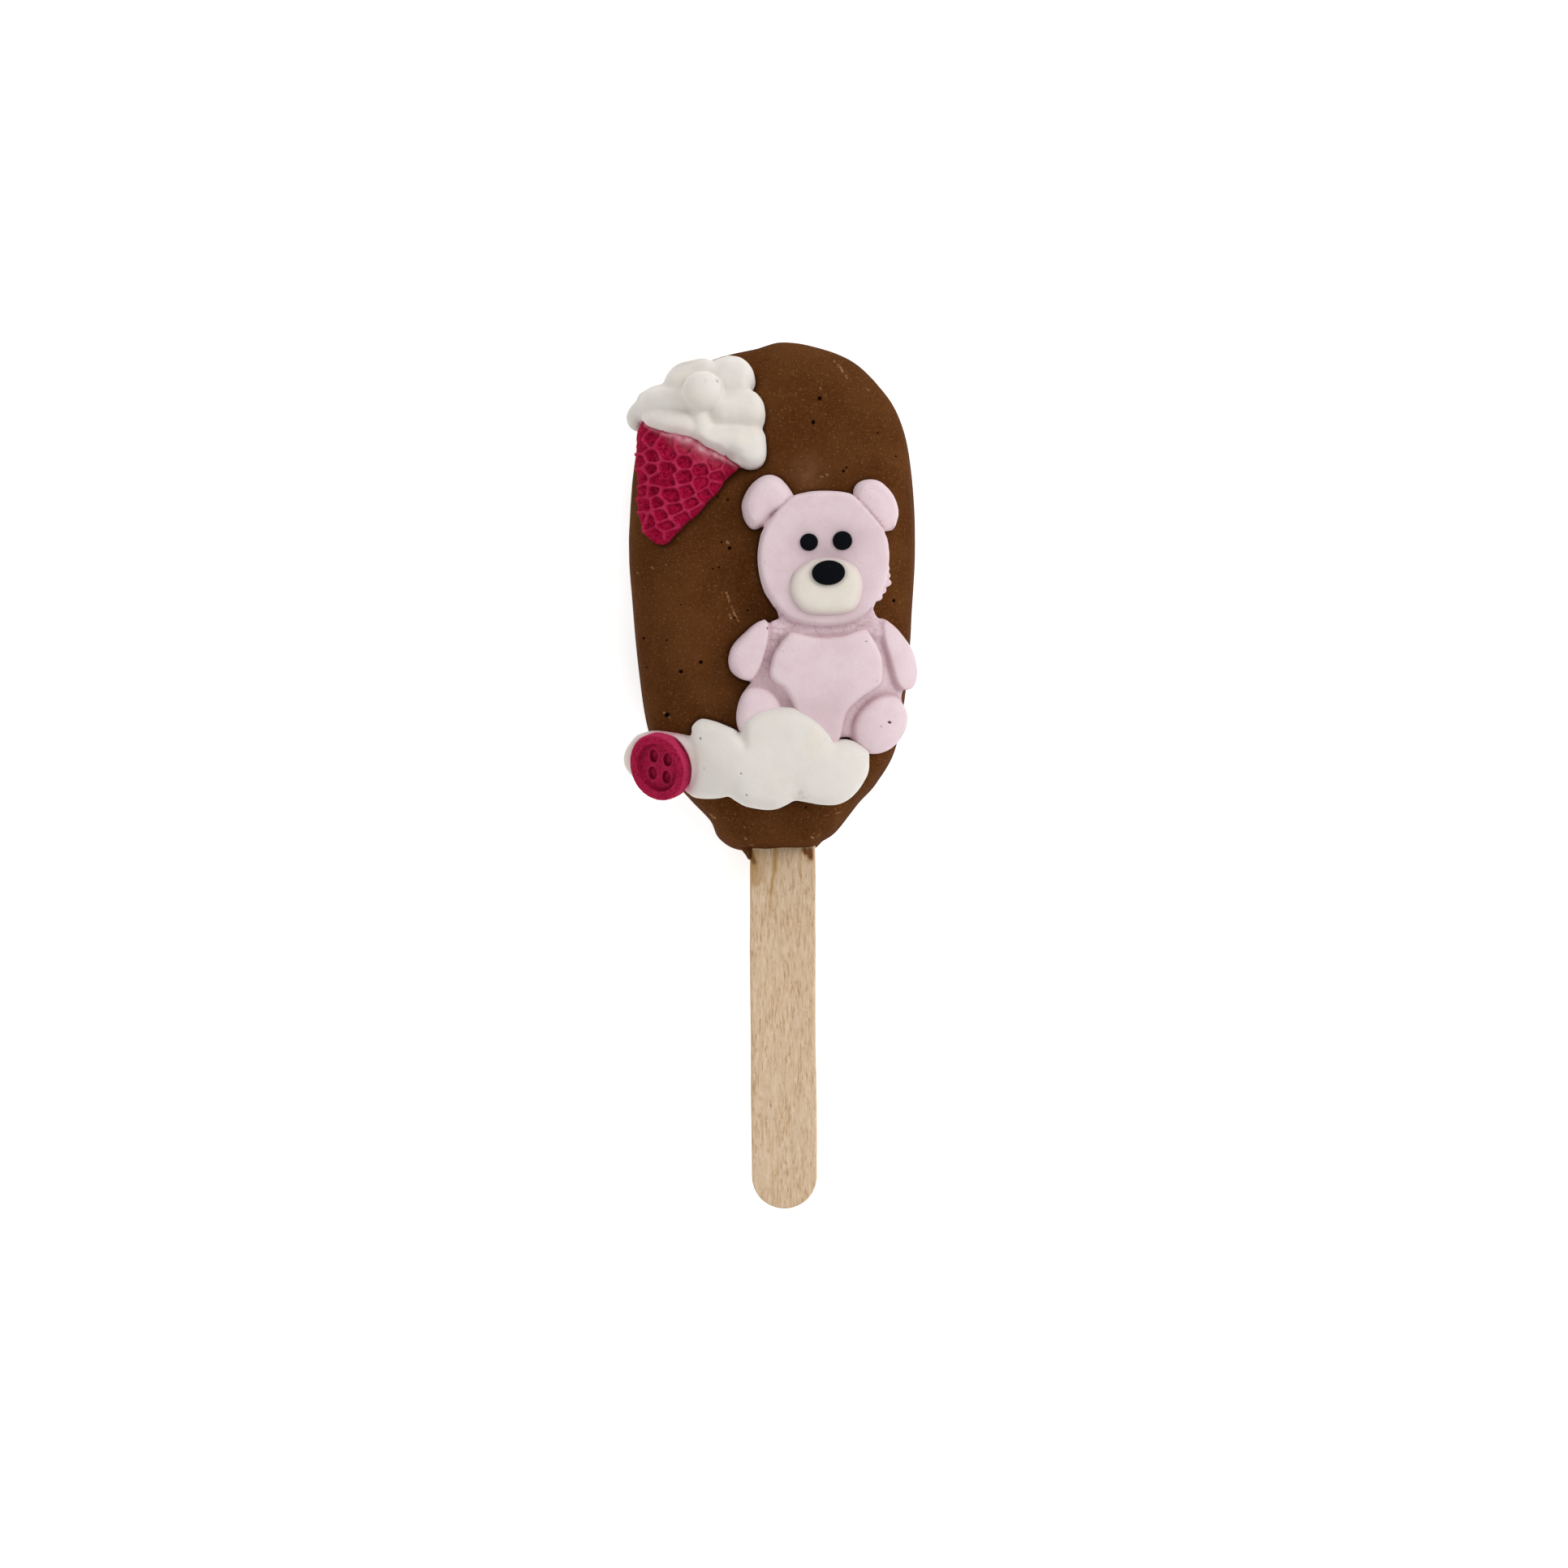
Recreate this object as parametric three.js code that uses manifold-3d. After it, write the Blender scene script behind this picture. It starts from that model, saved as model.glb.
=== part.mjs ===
// A cakesicle: a bar of cake on a wooden stick, dipped in milk chocolate and dressed with moulded
// sugar paste: a seated teddy bear, a cloud, a button and an ice cream cone.
//
// Units are millimetres. The bar lies on its flat back with the dressed face up (+Z). +Y runs from
// the stick to the bar's round end. The origin is on the resting plane, on the stick's centre line,
// near the middle of the bar's length.
//
// The sugar paste is laid out flat, as it leaves its moulds: u and v run along X and Y, and h is the
// height above the chocolate. drape() then lays each piece over the bar's rounded face, so that it
// follows the roll at the edge.

import * as THREE from 'three';
import { mergeVertices } from 'three/addons/utils/BufferGeometryUtils.js';
import Module from 'manifold-3d';

const wasm = await Module();
wasm.setup();

// ---------------------------------------------------------------- driving sizes

const GAP = 0.3; // clearance between pieces that touch

const STICK = { length: 114, width: 11, thickness: 2, tip: -103.1, middle: 10, bevel: 0.25 };

const BAR = {
  centre: [-1.9, 0], // the stick sits a little right of the bar's middle
  foot: 1.5, // radius of the edge round the flat back
  shoulder: 12, // height where the side wall ends
  draft: 0.8, // how far the side wall leans in below the shoulder
  roll: 10.5, // width of the rounded edge round the face
  face: 22.4, // height where the roll ends
  crown: 0.7, // further rise to the middle of the face
  power: 2.3, // squareness of the roll
  drapeSlope: 1, // steepest slope that sugar paste follows over the edge
};

// The bar's outline as dipped, anticlockwise from the round end: the left side, whose top corner is a
// little flattened, the neck round the stick, where the coat sags, then the right side.
const BAR_OUTLINE = [
  [1.1, 42.1], [-4.6, 41], [-12.8, 39.2], [-20.6, 35.1], [-24.5, 27.9], [-25.6, 18.7], [-26.1, 7.1],
  [-25.6, -1], [-24.6, -12], [-23, -22.5], [-20.2, -29.5], [-15.8, -34.7], [-12.1, -38.3],
  [-10.7, -41.2], [-7.4, -43.2], [-1, -43.1], [5.2, -42.6], [10.6, -38.6], [15.5, -32.3],
  [19.3, -25.7], [21.2, -14], [22, -2.3], [22.5, 7.1], [22.2, 17.3], [20.7, 27.4], [17.2, 34],
  [10.7, 39.6],
];

// Ovals: at is the centre, radii the half length and half width, turn the angle of the length in
// degrees, square 2 for an ellipse and more for a boxier one, and taper how much narrower the far end
// of the length is. Heights are above the chocolate, roll is the share of the half width that rolls
// over to the side, and sides is the number of facets round.
const BEAR = {
  plate: { at: [6.6, -13.4], radii: [11.6, 10], square: 2.8, height: 2.4, roll: 0.2, sides: 24 },
  head: { at: [6.3, 4.4], radii: [10.3, 10.9], height: 5.2, roll: 0.3, crown: 0.4, sides: 32 },
  leftEar: { at: [-2.7, 13.5], radii: [4.5, 3.3], turn: 54, square: 2.4, height: 4.4, roll: 0.8 },
  rightEar: { at: [14.5, 13.1], radii: [4.4, 2.8], turn: -68, square: 2.4, height: 4.2, roll: 0.8 },
  leftArm: { at: [-5.2, -10.2], radii: [5.1, 2.6], turn: 67, taper: 0.3, height: 4.6, roll: 0.7 },
  rightArm: { at: [17.4, -11.3], radii: [5.6, 1.85], turn: 109, taper: 0.25, height: 3.8, roll: 0.7 },
  leftFoot: { at: [-3.8, -21.4], radii: [3.7, 5.1], height: 4.6, roll: 0.6, sides: 20 },
  rightFoot: { at: [14.3, -22], radii: [4.1, 4.6], turn: -17, height: 4.6, roll: 0.5, sides: 20 },
};
const BELLY = {
  at: [6.9, -14.4],
  height: 4.9,
  roll: 0.24,
  crown: 0.4,
  sides: 36,
  // A barrel: its top follows the chin, and its foot narrows between the legs.
  rim: [
    [1.1, -7.8], [6.9, -8.6], [12.7, -7.4], [14.2, -9.3], [14.6, -12.7], [14.2, -16.3], [11.2, -19.4],
    [9.6, -22.3], [8.8, -25], [5.9, -26.4], [2.7, -25], [1.6, -20.8], [0.7, -17.6], [-1.8, -15.1],
    [-1.8, -12.4], [-0.6, -10.2],
  ],
};
const MUZZLE = {
  at: [7, -0.6],
  height: 6.6,
  foot: 4.6,
  roll: 0.45,
  sides: 26,
  rim: [
    [7, 3.5], [10.1, 3.1], [11.8, 1.5], [12.1, -1.1], [11.6, -3.7], [9.7, -4.8], [7, -5], [4.2, -4.8],
    [2.1, -3.5], [1.4, -1], [2, 1.6], [4, 3.1],
  ],
};
const NOSE = {
  at: [7.35, 1.85],
  radii: [2.62, 1.96],
  turn: 4,
  height: 7.9,
  foot: 5.6,
  roll: 0.7,
  sides: 18,
};
const EYE = { height: 6, foot: 4.4, roll: 0.6 };
const LEFT_EYE = { ...EYE, at: [4.2, 6.7], radii: [1.36, 1.36] };
const RIGHT_EYE = { ...EYE, at: [9.6, 6.95], radii: [1.5, 1.5] };

// The cloud's lobes. It is pressed on over the bear's feet, so its upper lobes stand higher.
const CLOUD = [
  { at: [-0.3, -27.4], radii: [8.4, 7.8], turn: 15, height: 6.3, roll: 0.32, sides: 28 },
  { at: [-2.9, -29.8], radii: [7.2, 5.9], height: 5.7, roll: 0.36, sides: 24 },
  { at: [7.5, -29.7], radii: [6.1, 4.5], turn: 44, height: 5.5, roll: 0.4, sides: 24 },
  { at: [2.8, -32], radii: [3.2, 2.5], height: 4.9, roll: 0.8 },
  { at: [-11, -27.8], radii: [5.2, 6.4], turn: 13, height: 4.5, roll: 0.5, sides: 24 },
  { at: [-19.8, -27.9], radii: [6.2, 4.7], turn: 8, height: 2.8, roll: 0.4, sides: 20 },
];

// The button lies on the cloud's left lobe, where that droops over the bar's edge.
const BUTTON = {
  at: [-19.5, -29, 20], // middle of its back
  lean: 33, // how far it leans over the edge
  towards: 192, // the direction that it leans in
  radius: 5.45,
  thickness: 2,
  rim: 1.15,
  well: 0.6, // depth inside the rim
  hole: 1,
  holeSpacing: 1.42,
  turn: -10,
};

// The ice cream: swirls of cream, a ball on top, and a waffle cone.
const CREAM = [
  { at: [-8.8, 33.1], radii: [4.6, 3], turn: -3, height: 5, roll: 0.9 },
  { at: [-13.4, 32.7], radii: [4.9, 2.5], turn: 17, height: 4.3, roll: 0.9 },
  { at: [-8.1, 27.7], radii: [5.8, 3.4], turn: -6, height: 5.4, roll: 0.9 },
  { at: [-17, 29.3], radii: [5.3, 2.6], turn: 13, height: 4.7, roll: 0.9 },
  { at: [-8.1, 23.7], radii: [5.9, 3.3], turn: -20, height: 5.5, roll: 0.9 },
  { at: [-5.5, 22], radii: [2.6, 3.2], height: 4.8, roll: 0.9 },
  { at: [-16, 25.9], radii: [5.6, 2.5], turn: -12, height: 4.8, roll: 0.9 },
  { at: [-22.5, 27.5], radii: [2.1, 2.5], height: 3.2, roll: 0.9 },
  { at: [-12, 26.6], radii: [4.6, 3.6], height: 5.2, roll: 0.7 },
];
const CREAM_BALL = { at: [-12.3, 29.7], radii: [3.1, 3.3], height: 7.4, roll: 0.95 };
const CONE = {
  at: [-17, 18.5],
  height: 4,
  roll: 0.75,
  sides: 40,
  rim: [
    [-7.4, 19.1], [-9.7, 17.1], [-12.9, 12.9], [-16.9, 9.3], [-18.9, 7.3], [-20.3, 6.8], [-21.8, 7.8],
    [-22.5, 10.6], [-22.7, 16], [-22.6, 22], [-22, 25.6], [-17, 26.5], [-11, 23.6],
  ],
};
const WAFFLE = { pitch: 2.5, ridge: 0.55, depth: 0.6, turn: 12, reach: 6, margin: 0.86 };

const LOOKS = {
  chocolate: { color: 0x5a3419, roughness: 0.5, metalness: 0 },
  wood: { color: 0xd0ae88, roughness: 0.7, metalness: 0 },
  pink: { color: 0xe4cfd6, roughness: 0.7, metalness: 0 },
  ivory: { color: 0xece6d8, roughness: 0.65, metalness: 0 },
  black: { color: 0x15161a, roughness: 0.6, metalness: 0 },
  white: { color: 0xe9e5e0, roughness: 0.65, metalness: 0 },
  magenta: { color: 0xb0234f, roughness: 0.75, metalness: 0 },
};

// ---------------------------------------------------------------- solids and meshes

const radians = THREE.MathUtils.degToRad;

function toSolid(geometry) {
  const bare = geometry.clone();
  bare.deleteAttribute('normal');
  bare.deleteAttribute('uv');
  const merged = mergeVertices(bare, 1e-5);
  const mesh = new wasm.Mesh({
    numProp: 3,
    vertProperties: new Float32Array(merged.attributes.position.array),
    triVerts: new Uint32Array(merged.index.array),
  });
  return new wasm.Manifold(mesh);
}

function toGeometry(solid) {
  const { vertProperties, triVerts, numProp } = solid.getMesh();
  const positions = new Float32Array((vertProperties.length / numProp) * 3);
  for (let i = 0; i < positions.length / 3; i += 1) {
    positions.set(vertProperties.subarray(i * numProp, i * numProp + 3), i * 3);
  }
  const geometry = new THREE.BufferGeometry();
  geometry.setAttribute('position', new THREE.BufferAttribute(positions, 3));
  geometry.setIndex(new THREE.BufferAttribute(new Uint32Array(triVerts), 1));
  geometry.computeVertexNormals();
  return geometry;
}

const join = (solids) => solids.reduce((whole, solid) => whole.add(solid));

// A closed body from rings of equally many points, listed from its lowest point to its highest.
function lathed(bottom, rings, top) {
  const count = rings[0].length;
  const positions = [bottom, ...rings.flat(), top].flat();
  const index = [];
  const at = (ring, side) => 1 + ring * count + (side % count);
  const last = 1 + rings.length * count;
  for (let side = 0; side < count; side += 1) {
    index.push(0, at(0, side + 1), at(0, side));
    for (let ring = 0; ring + 1 < rings.length; ring += 1) {
      index.push(at(ring, side), at(ring, side + 1), at(ring + 1, side + 1));
      index.push(at(ring, side), at(ring + 1, side + 1), at(ring + 1, side));
    }
    index.push(at(rings.length - 1, side), at(rings.length - 1, side + 1), last);
  }
  const geometry = new THREE.BufferGeometry();
  geometry.setAttribute('position', new THREE.Float32BufferAttribute(positions, 3));
  geometry.setIndex(index);
  return geometry;
}

// ---------------------------------------------------------------- outlines

// The closed curve through some points, as a function of a turn from 0 to 1.
function loop(points) {
  const corners = points.map(([x, y]) => new THREE.Vector3(x, y, 0));
  const curve = new THREE.CatmullRomCurve3(corners, true, 'catmullrom');
  return (turn) => {
    const { x, y } = curve.getPoint(turn % 1);
    return [x, y];
  };
}

// An oval, as a function of a turn from 0 to 1.
function oval({ at, radii, turn = 0, square = 2, taper = 0 }) {
  const [cos, sin] = [Math.cos(radians(turn)), Math.sin(radians(turn))];
  return (round) => {
    const angle = round * 2 * Math.PI;
    const [c, s] = [Math.cos(angle), Math.sin(angle)];
    const reach = (Math.abs(c) ** square + Math.abs(s) ** square) ** (-1 / square);
    const x = radii[0] * reach * c;
    const y = radii[1] * reach * s * (1 - taper * reach * c);
    return [at[0] + x * cos - y * sin, at[1] + x * sin + y * cos];
  };
}

function halfWidth({ at, radii, rim }) {
  return Math.min(...(radii ?? rim.map(([x, y]) => Math.hypot(x - at[0], y - at[1]))));
}

function anticlockwise(rim) {
  const corners = Array.from({ length: 16 }, (_, i) => new THREE.Vector2(...rim(i / 16)));
  return THREE.ShapeUtils.area(corners) > 0 ? rim : (turn) => rim(1 - (turn % 1));
}

// ---------------------------------------------------------------- moulded mounds

const ROLL_POWER = 2.2; // squareness of a mound's rolled edge
const FOOT_HOLLOW = 0.06; // how far a mound's underside rises to its middle

// The height of a mound at a share of the way from its centre to its rim.
function moundHeight({ height, foot = GAP, roll, crown = 0.15 }, share) {
  const over = Math.max(0, (share - 1 + roll) / roll);
  const rise = Math.max(0, 1 - over ** ROLL_POWER) ** (1 / ROLL_POWER);
  return foot + (height - crown - foot) * rise + crown * (1 - share ** 2);
}

// A mound in the flat layout. grow makes it that much larger all round, to cut room for it elsewhere.
function mound(spec, grow = 0) {
  const { at, foot = GAP, roll, sides = 16 } = spec;
  const rim = spec.rim ? anticlockwise(loop(spec.rim)) : oval(spec);
  const widen = 1 + grow / halfWidth(spec);
  const ring = (share, height) =>
    Array.from({ length: sides }, (_, i) => {
      const [x, y] = rim(i / sides);
      return [at[0] + (x - at[0]) * share * widen, at[1] + (y - at[1]) * share * widen, height];
    });
  const low = foot - grow;
  const wide = halfWidth(spec) > 3.5;
  const footRings = wide ? [ring(0.5, low + FOOT_HOLLOW / 2), ring(1, low)] : [ring(1, low)];
  const topRings = (sides > 16 ? [62, 32, 0] : [50, 8])
    .map((angle) => 1 - roll * (1 - Math.sin(radians(angle))))
    .map((share) => ring(share, moundHeight(spec, share) + grow));
  const top = [...at, moundHeight(spec, 0) + grow];
  return toSolid(lathed([...at, low + FOOT_HOLLOW], [...footRings, ...topRings], top));
}

// ---------------------------------------------------------------- the bar's surface

// The bar's outline as tables by direction from its centre: radius, and facing, the cosine between
// that direction and the outline's own normal, blurred so that the roll has no creases.
const TABLE_SIZE = 360;
const TABLE_STEP = (2 * Math.PI) / TABLE_SIZE;
const BLUR = 4;

function outlineAngles(count) {
  const rim = loop(BAR_OUTLINE);
  return Array.from({ length: count }, (_, i) => {
    const [x, y] = rim(i / count);
    const [dx, dy] = [x - BAR.centre[0], y - BAR.centre[1]];
    return [THREE.MathUtils.euclideanModulo(Math.atan2(dy, dx), 2 * Math.PI), Math.hypot(dx, dy)];
  }).sort((a, b) => a[0] - b[0]);
}

const barTable = (() => {
  const samples = outlineAngles(4 * TABLE_SIZE);
  const radius = Array.from({ length: TABLE_SIZE }, (_, i) => {
    const off = (sample) => Math.abs(sample[0] - i * TABLE_STEP);
    return samples.reduce((best, sample) => (off(sample) < off(best) ? sample : best))[1];
  });
  const smooth = blurred(radius, BLUR);
  const facing = smooth.map((r, i) => {
    const ahead = smooth[(i + BLUR) % TABLE_SIZE];
    const behind = smooth[(i - BLUR + TABLE_SIZE) % TABLE_SIZE];
    return r / Math.hypot(r, (ahead - behind) / (2 * BLUR * TABLE_STEP));
  });
  return { radius, facing: blurred(facing, BLUR) };
})();

function blurred(values, reach) {
  return values.map((_, i) => {
    let sum = 0;
    for (let d = -reach; d <= reach; d += 1) {
      sum += values[(i + d + values.length) % values.length];
    }
    return sum / (2 * reach + 1);
  });
}

function lookUp(values, angle) {
  const place = THREE.MathUtils.euclideanModulo(angle, 2 * Math.PI) / TABLE_STEP;
  const low = Math.floor(place);
  return THREE.MathUtils.lerp(values[low % TABLE_SIZE], values[(low + 1) % TABLE_SIZE], place - low);
}

// How far a point lies inside the outline, and its share of the way from the centre to it.
function insetAt(x, y) {
  const [dx, dy] = [x - BAR.centre[0], y - BAR.centre[1]];
  const angle = Math.atan2(dy, dx);
  const [reach, edge] = [Math.hypot(dx, dy), lookUp(barTable.radius, angle)];
  return { inset: (edge - reach) * lookUp(barTable.facing, angle), share: reach / edge };
}

function shoulderHeight(inset) {
  const across = THREE.MathUtils.clamp((inset - BAR.draft) / BAR.roll, 0, 1);
  const rise = (1 - (1 - across) ** BAR.power) ** (1 / BAR.power);
  return BAR.shoulder + (BAR.face - BAR.shoulder) * rise;
}

// The inset at which the roll gets too steep for sugar paste to follow.
const drapeEdge = (() => {
  const step = 0.01;
  let inset = BAR.draft + step;
  while (shoulderHeight(inset + step) - shoulderHeight(inset) > BAR.drapeSlope * step) {
    inset += step;
  }
  return inset;
})();

function faceHeight(inset, share) {
  return shoulderHeight(inset) + BAR.crown * (1 - Math.min(share, 1) ** 2);
}

// The surface that sugar paste lies on: the bar's face, then a straight slope past its edge.
function drapeHeight(x, y) {
  const { inset, share } = insetAt(x, y);
  const past = Math.max(0, drapeEdge - inset);
  return faceHeight(Math.max(inset, drapeEdge), share) - BAR.drapeSlope * past;
}

function drapePoint(u, v, h) {
  const step = 0.2;
  const slopeX = (drapeHeight(u + step, v) - drapeHeight(u - step, v)) / (2 * step);
  const slopeY = (drapeHeight(u, v + step) - drapeHeight(u, v - step)) / (2 * step);
  const normal = new THREE.Vector3(-slopeX, -slopeY, 1).normalize();
  return new THREE.Vector3(u, v, drapeHeight(u, v)).addScaledVector(normal, h);
}

function drape(solid) {
  const geometry = toGeometry(solid);
  const position = geometry.attributes.position;
  for (let i = 0; i < position.count; i += 1) {
    const { x, y, z } = drapePoint(position.getX(i), position.getY(i), position.getZ(i));
    position.setXYZ(i, x, y, z);
  }
  return toSolid(geometry);
}

// ---------------------------------------------------------------- bar and stick

function stickShape(grow) {
  const half = STICK.width / 2;
  const [low, high] = [STICK.tip + half, STICK.tip + STICK.length - half];
  const shape = new THREE.Shape();
  shape.absarc(0, low, half + grow, Math.PI, 2 * Math.PI, false);
  shape.absarc(0, high, half + grow, 0, Math.PI, false);
  shape.closePath();
  return shape;
}

function stick() {
  const { thickness, bevel, middle } = STICK;
  const geometry = new THREE.ExtrudeGeometry(stickShape(-bevel), {
    depth: thickness - 2 * bevel,
    bevelThickness: bevel,
    bevelSize: bevel,
    bevelSegments: 1,
    curveSegments: 12,
  });
  geometry.translate(0, 0, middle - thickness / 2 + bevel);
  return toSolid(geometry);
}

function stickSlot() {
  const geometry = new THREE.ExtrudeGeometry(stickShape(GAP), {
    depth: STICK.thickness + 2 * GAP,
    bevelEnabled: false,
    curveSegments: 12,
  });
  geometry.translate(0, 0, STICK.middle - STICK.thickness / 2 - GAP);
  return toSolid(geometry);
}

function bar() {
  const around = (inset, height) =>
    outlineAngles(3 * BAR_OUTLINE.length).map(([angle]) => {
      const edge = lookUp(barTable.radius, angle);
      const reach = edge - inset / lookUp(barTable.facing, angle);
      const [x, y] = [BAR.centre[0] + reach * Math.cos(angle), BAR.centre[1] + reach * Math.sin(angle)];
      return [x, y, height ?? faceHeight(inset, reach / edge)];
    });
  const faceEdge = BAR.draft + BAR.roll;
  const onFace = (share) =>
    around(faceEdge).map(([x, y]) => {
      const px = THREE.MathUtils.lerp(BAR.centre[0], x, share);
      const py = THREE.MathUtils.lerp(BAR.centre[1], y, share);
      return [px, py, faceHeight(faceEdge, insetAt(px, py).share)];
    });
  const footRings = [0, 45].map((angle) => {
    const [sin, cos] = [Math.sin(radians(angle)), Math.cos(radians(angle))];
    return around(BAR.foot * (1 - sin), BAR.foot * (1 - cos));
  });
  const rolledTo = [0, 0.03, 0.12, 0.28, 0.5, 0.76, 1];
  const rolled = rolledTo.map((across) => around(BAR.draft + BAR.roll * across));
  const rings = [...footRings, around(0, BAR.foot), ...rolled, onFace(0.55)];
  const body = lathed([...BAR.centre, 0], rings, [...BAR.centre, BAR.face + BAR.crown]);
  return toSolid(body).subtract(stickSlot());
}

// ---------------------------------------------------------------- teddy bear

function bear() {
  const body = join([...Object.values(BEAR), BELLY].map((limb) => mound(limb)));
  const room = [MUZZLE, NOSE, LEFT_EYE, RIGHT_EYE, ...CLOUD].map((neighbour) => mound(neighbour, GAP));
  return drape(room.reduce((left, neighbour) => left.subtract(neighbour), body));
}

const muzzle = () => drape(mound(MUZZLE).subtract(mound(NOSE, GAP)));

// ---------------------------------------------------------------- button

function buttonPlace() {
  const towards = radians(BUTTON.towards);
  const axis = new THREE.Vector3(-Math.sin(towards), Math.cos(towards), 0);
  const lean = new THREE.Matrix4().makeRotationAxis(axis, radians(BUTTON.lean));
  const turn = new THREE.Matrix4().makeRotationZ(radians(BUTTON.turn));
  return lean.multiply(turn).setPosition(...BUTTON.at);
}

function button() {
  const { radius, thickness, rim, well, hole, holeSpacing } = BUTTON;
  const soft = 0.5; // the rounding of the rim's outer edge
  const floor = thickness - well;
  const profile = [
    [0, 0], [radius - soft, 0], [radius, soft], [radius, thickness - soft],
    [radius - soft / 2, thickness - 0.1], [radius - rim / 2, thickness], [radius - rim, thickness - 0.2],
    [radius - rim - well, floor], [0, floor],
  ];
  const disc = new THREE.LatheGeometry(profile.map(([x, y]) => new THREE.Vector2(x, y)), 30);
  disc.rotateX(Math.PI / 2);
  let solid = toSolid(disc);
  const depth = 1.1; // of a hole, which ends inside the button
  for (const x of [-holeSpacing, holeSpacing]) {
    for (const y of [-holeSpacing, holeSpacing]) {
      const drill = new THREE.CylinderGeometry(hole, hole * 0.8, 2 * depth, 10);
      drill.rotateX(Math.PI / 2);
      drill.translate(x, y, floor);
      solid = solid.subtract(toSolid(drill));
    }
  }
  return toSolid(toGeometry(solid).applyMatrix4(buttonPlace()));
}

// Room for the button in what it is pressed on to.
function buttonRoom() {
  const height = 12;
  const room = new THREE.CylinderGeometry(BUTTON.radius + GAP, BUTTON.radius + GAP, height, 30);
  room.rotateX(Math.PI / 2);
  room.translate(0, 0, height / 2 - GAP);
  return toSolid(room.applyMatrix4(buttonPlace()));
}

// ---------------------------------------------------------------- cloud

const cloud = () => drape(join(CLOUD.map((lobe) => mound(lobe)))).subtract(buttonRoom());

// ---------------------------------------------------------------- ice cream

const creamFolds = [...CREAM, CREAM_BALL];

const cream = () => drape(join(creamFolds.map((fold) => mound(fold))));

// A point's share of the way from the cone's centre to its rim.
function coneShare(x, y) {
  const rim = loop(CONE.rim);
  const bearing = ([px, py]) => Math.atan2(py - CONE.at[1], px - CONE.at[0]);
  const off = (point) => 1 - Math.cos(bearing(point) - bearing([x, y]));
  const around = Array.from({ length: 240 }, (_, i) => rim(i / 240));
  const [ex, ey] = around.reduce((best, point) => (off(point) < off(best) ? point : best));
  return Math.hypot(x - CONE.at[0], y - CONE.at[1]) / Math.hypot(ex - CONE.at[0], ey - CONE.at[1]);
}

// The pits between the waffle's ridges, each a square that narrows downwards.
function waffleCells() {
  const { pitch, ridge, depth, turn, reach, margin } = WAFFLE;
  const [cos, sin] = [Math.cos(radians(turn)), Math.sin(radians(turn))];
  const cells = [];
  for (let row = -reach; row <= reach; row += 1) {
    for (let column = -reach; column <= reach; column += 1) {
      const [across, along] = [(column + 0.5) * pitch, (row + 0.5) * pitch];
      const x = CONE.at[0] + across * cos - along * sin;
      const y = CONE.at[1] + across * sin + along * cos;
      const share = coneShare(x, y);
      if (share < margin) {
        const corner = (pitch - ridge) / Math.SQRT2;
        const cell = new THREE.CylinderGeometry(corner * 1.35, corner * 0.85, depth * 2.5, 4);
        cell.rotateX(Math.PI / 2);
        cell.rotateZ(radians(turn + 45));
        cell.translate(x, y, moundHeight(CONE, share) + depth / 4);
        cells.push(toSolid(cell));
      }
    }
  }
  return cells;
}

function cone() {
  const folds = creamFolds.map((fold) => mound(fold, GAP));
  return drape([...waffleCells(), ...folds].reduce((left, cut) => left.subtract(cut), mound(CONE)));
}

// ---------------------------------------------------------------- the cakesicle

function piece(name, solid, look) {
  const mesh = new THREE.Mesh(toGeometry(solid), new THREE.MeshStandardMaterial(LOOKS[look]));
  mesh.name = name;
  return mesh;
}

const cakesicle = new THREE.Group();
cakesicle.add(
  piece('chocolate_bar', bar(), 'chocolate'),
  piece('stick', stick(), 'wood'),
  piece('bear', bear(), 'pink'),
  piece('bear_muzzle', muzzle(), 'ivory'),
  piece('bear_nose', drape(mound(NOSE)), 'black'),
  piece('bear_left_eye', drape(mound(LEFT_EYE)), 'black'),
  piece('bear_right_eye', drape(mound(RIGHT_EYE)), 'black'),
  piece('cloud', cloud(), 'white'),
  piece('button', button(), 'magenta'),
  piece('cream', cream(), 'white'),
  piece('cone', cone(), 'magenta'),
);

export default cakesicle;
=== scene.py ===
# A cakesicle: a milk chocolate bar on a wooden stick, dressed with moulded sugar paste.
#
# The sugar paste is shaped flat, as in its moulds, in millimetres: u and v run along X and Y, and h
# is the height above the chocolate. Each form is a field that is negative inside. The fields are
# joined, meshed, and laid over the bar's rounded face. Meshes are turned into metres at the end.

import math

import bmesh
import bpy
import numpy as np
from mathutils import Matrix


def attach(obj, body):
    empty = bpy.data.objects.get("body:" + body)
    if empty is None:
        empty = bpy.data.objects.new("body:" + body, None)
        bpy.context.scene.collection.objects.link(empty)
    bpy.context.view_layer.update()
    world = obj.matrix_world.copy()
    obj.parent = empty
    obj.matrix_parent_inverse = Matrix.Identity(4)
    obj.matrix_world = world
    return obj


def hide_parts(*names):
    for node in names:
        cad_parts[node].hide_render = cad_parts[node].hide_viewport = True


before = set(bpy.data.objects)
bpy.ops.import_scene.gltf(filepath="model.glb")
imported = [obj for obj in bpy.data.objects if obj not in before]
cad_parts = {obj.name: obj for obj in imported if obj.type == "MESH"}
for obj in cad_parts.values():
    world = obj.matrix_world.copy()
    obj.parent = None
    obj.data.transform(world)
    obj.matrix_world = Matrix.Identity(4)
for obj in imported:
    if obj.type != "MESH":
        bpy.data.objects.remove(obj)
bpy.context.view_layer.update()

import openvdb
from mathutils import Matrix, Vector

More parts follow.
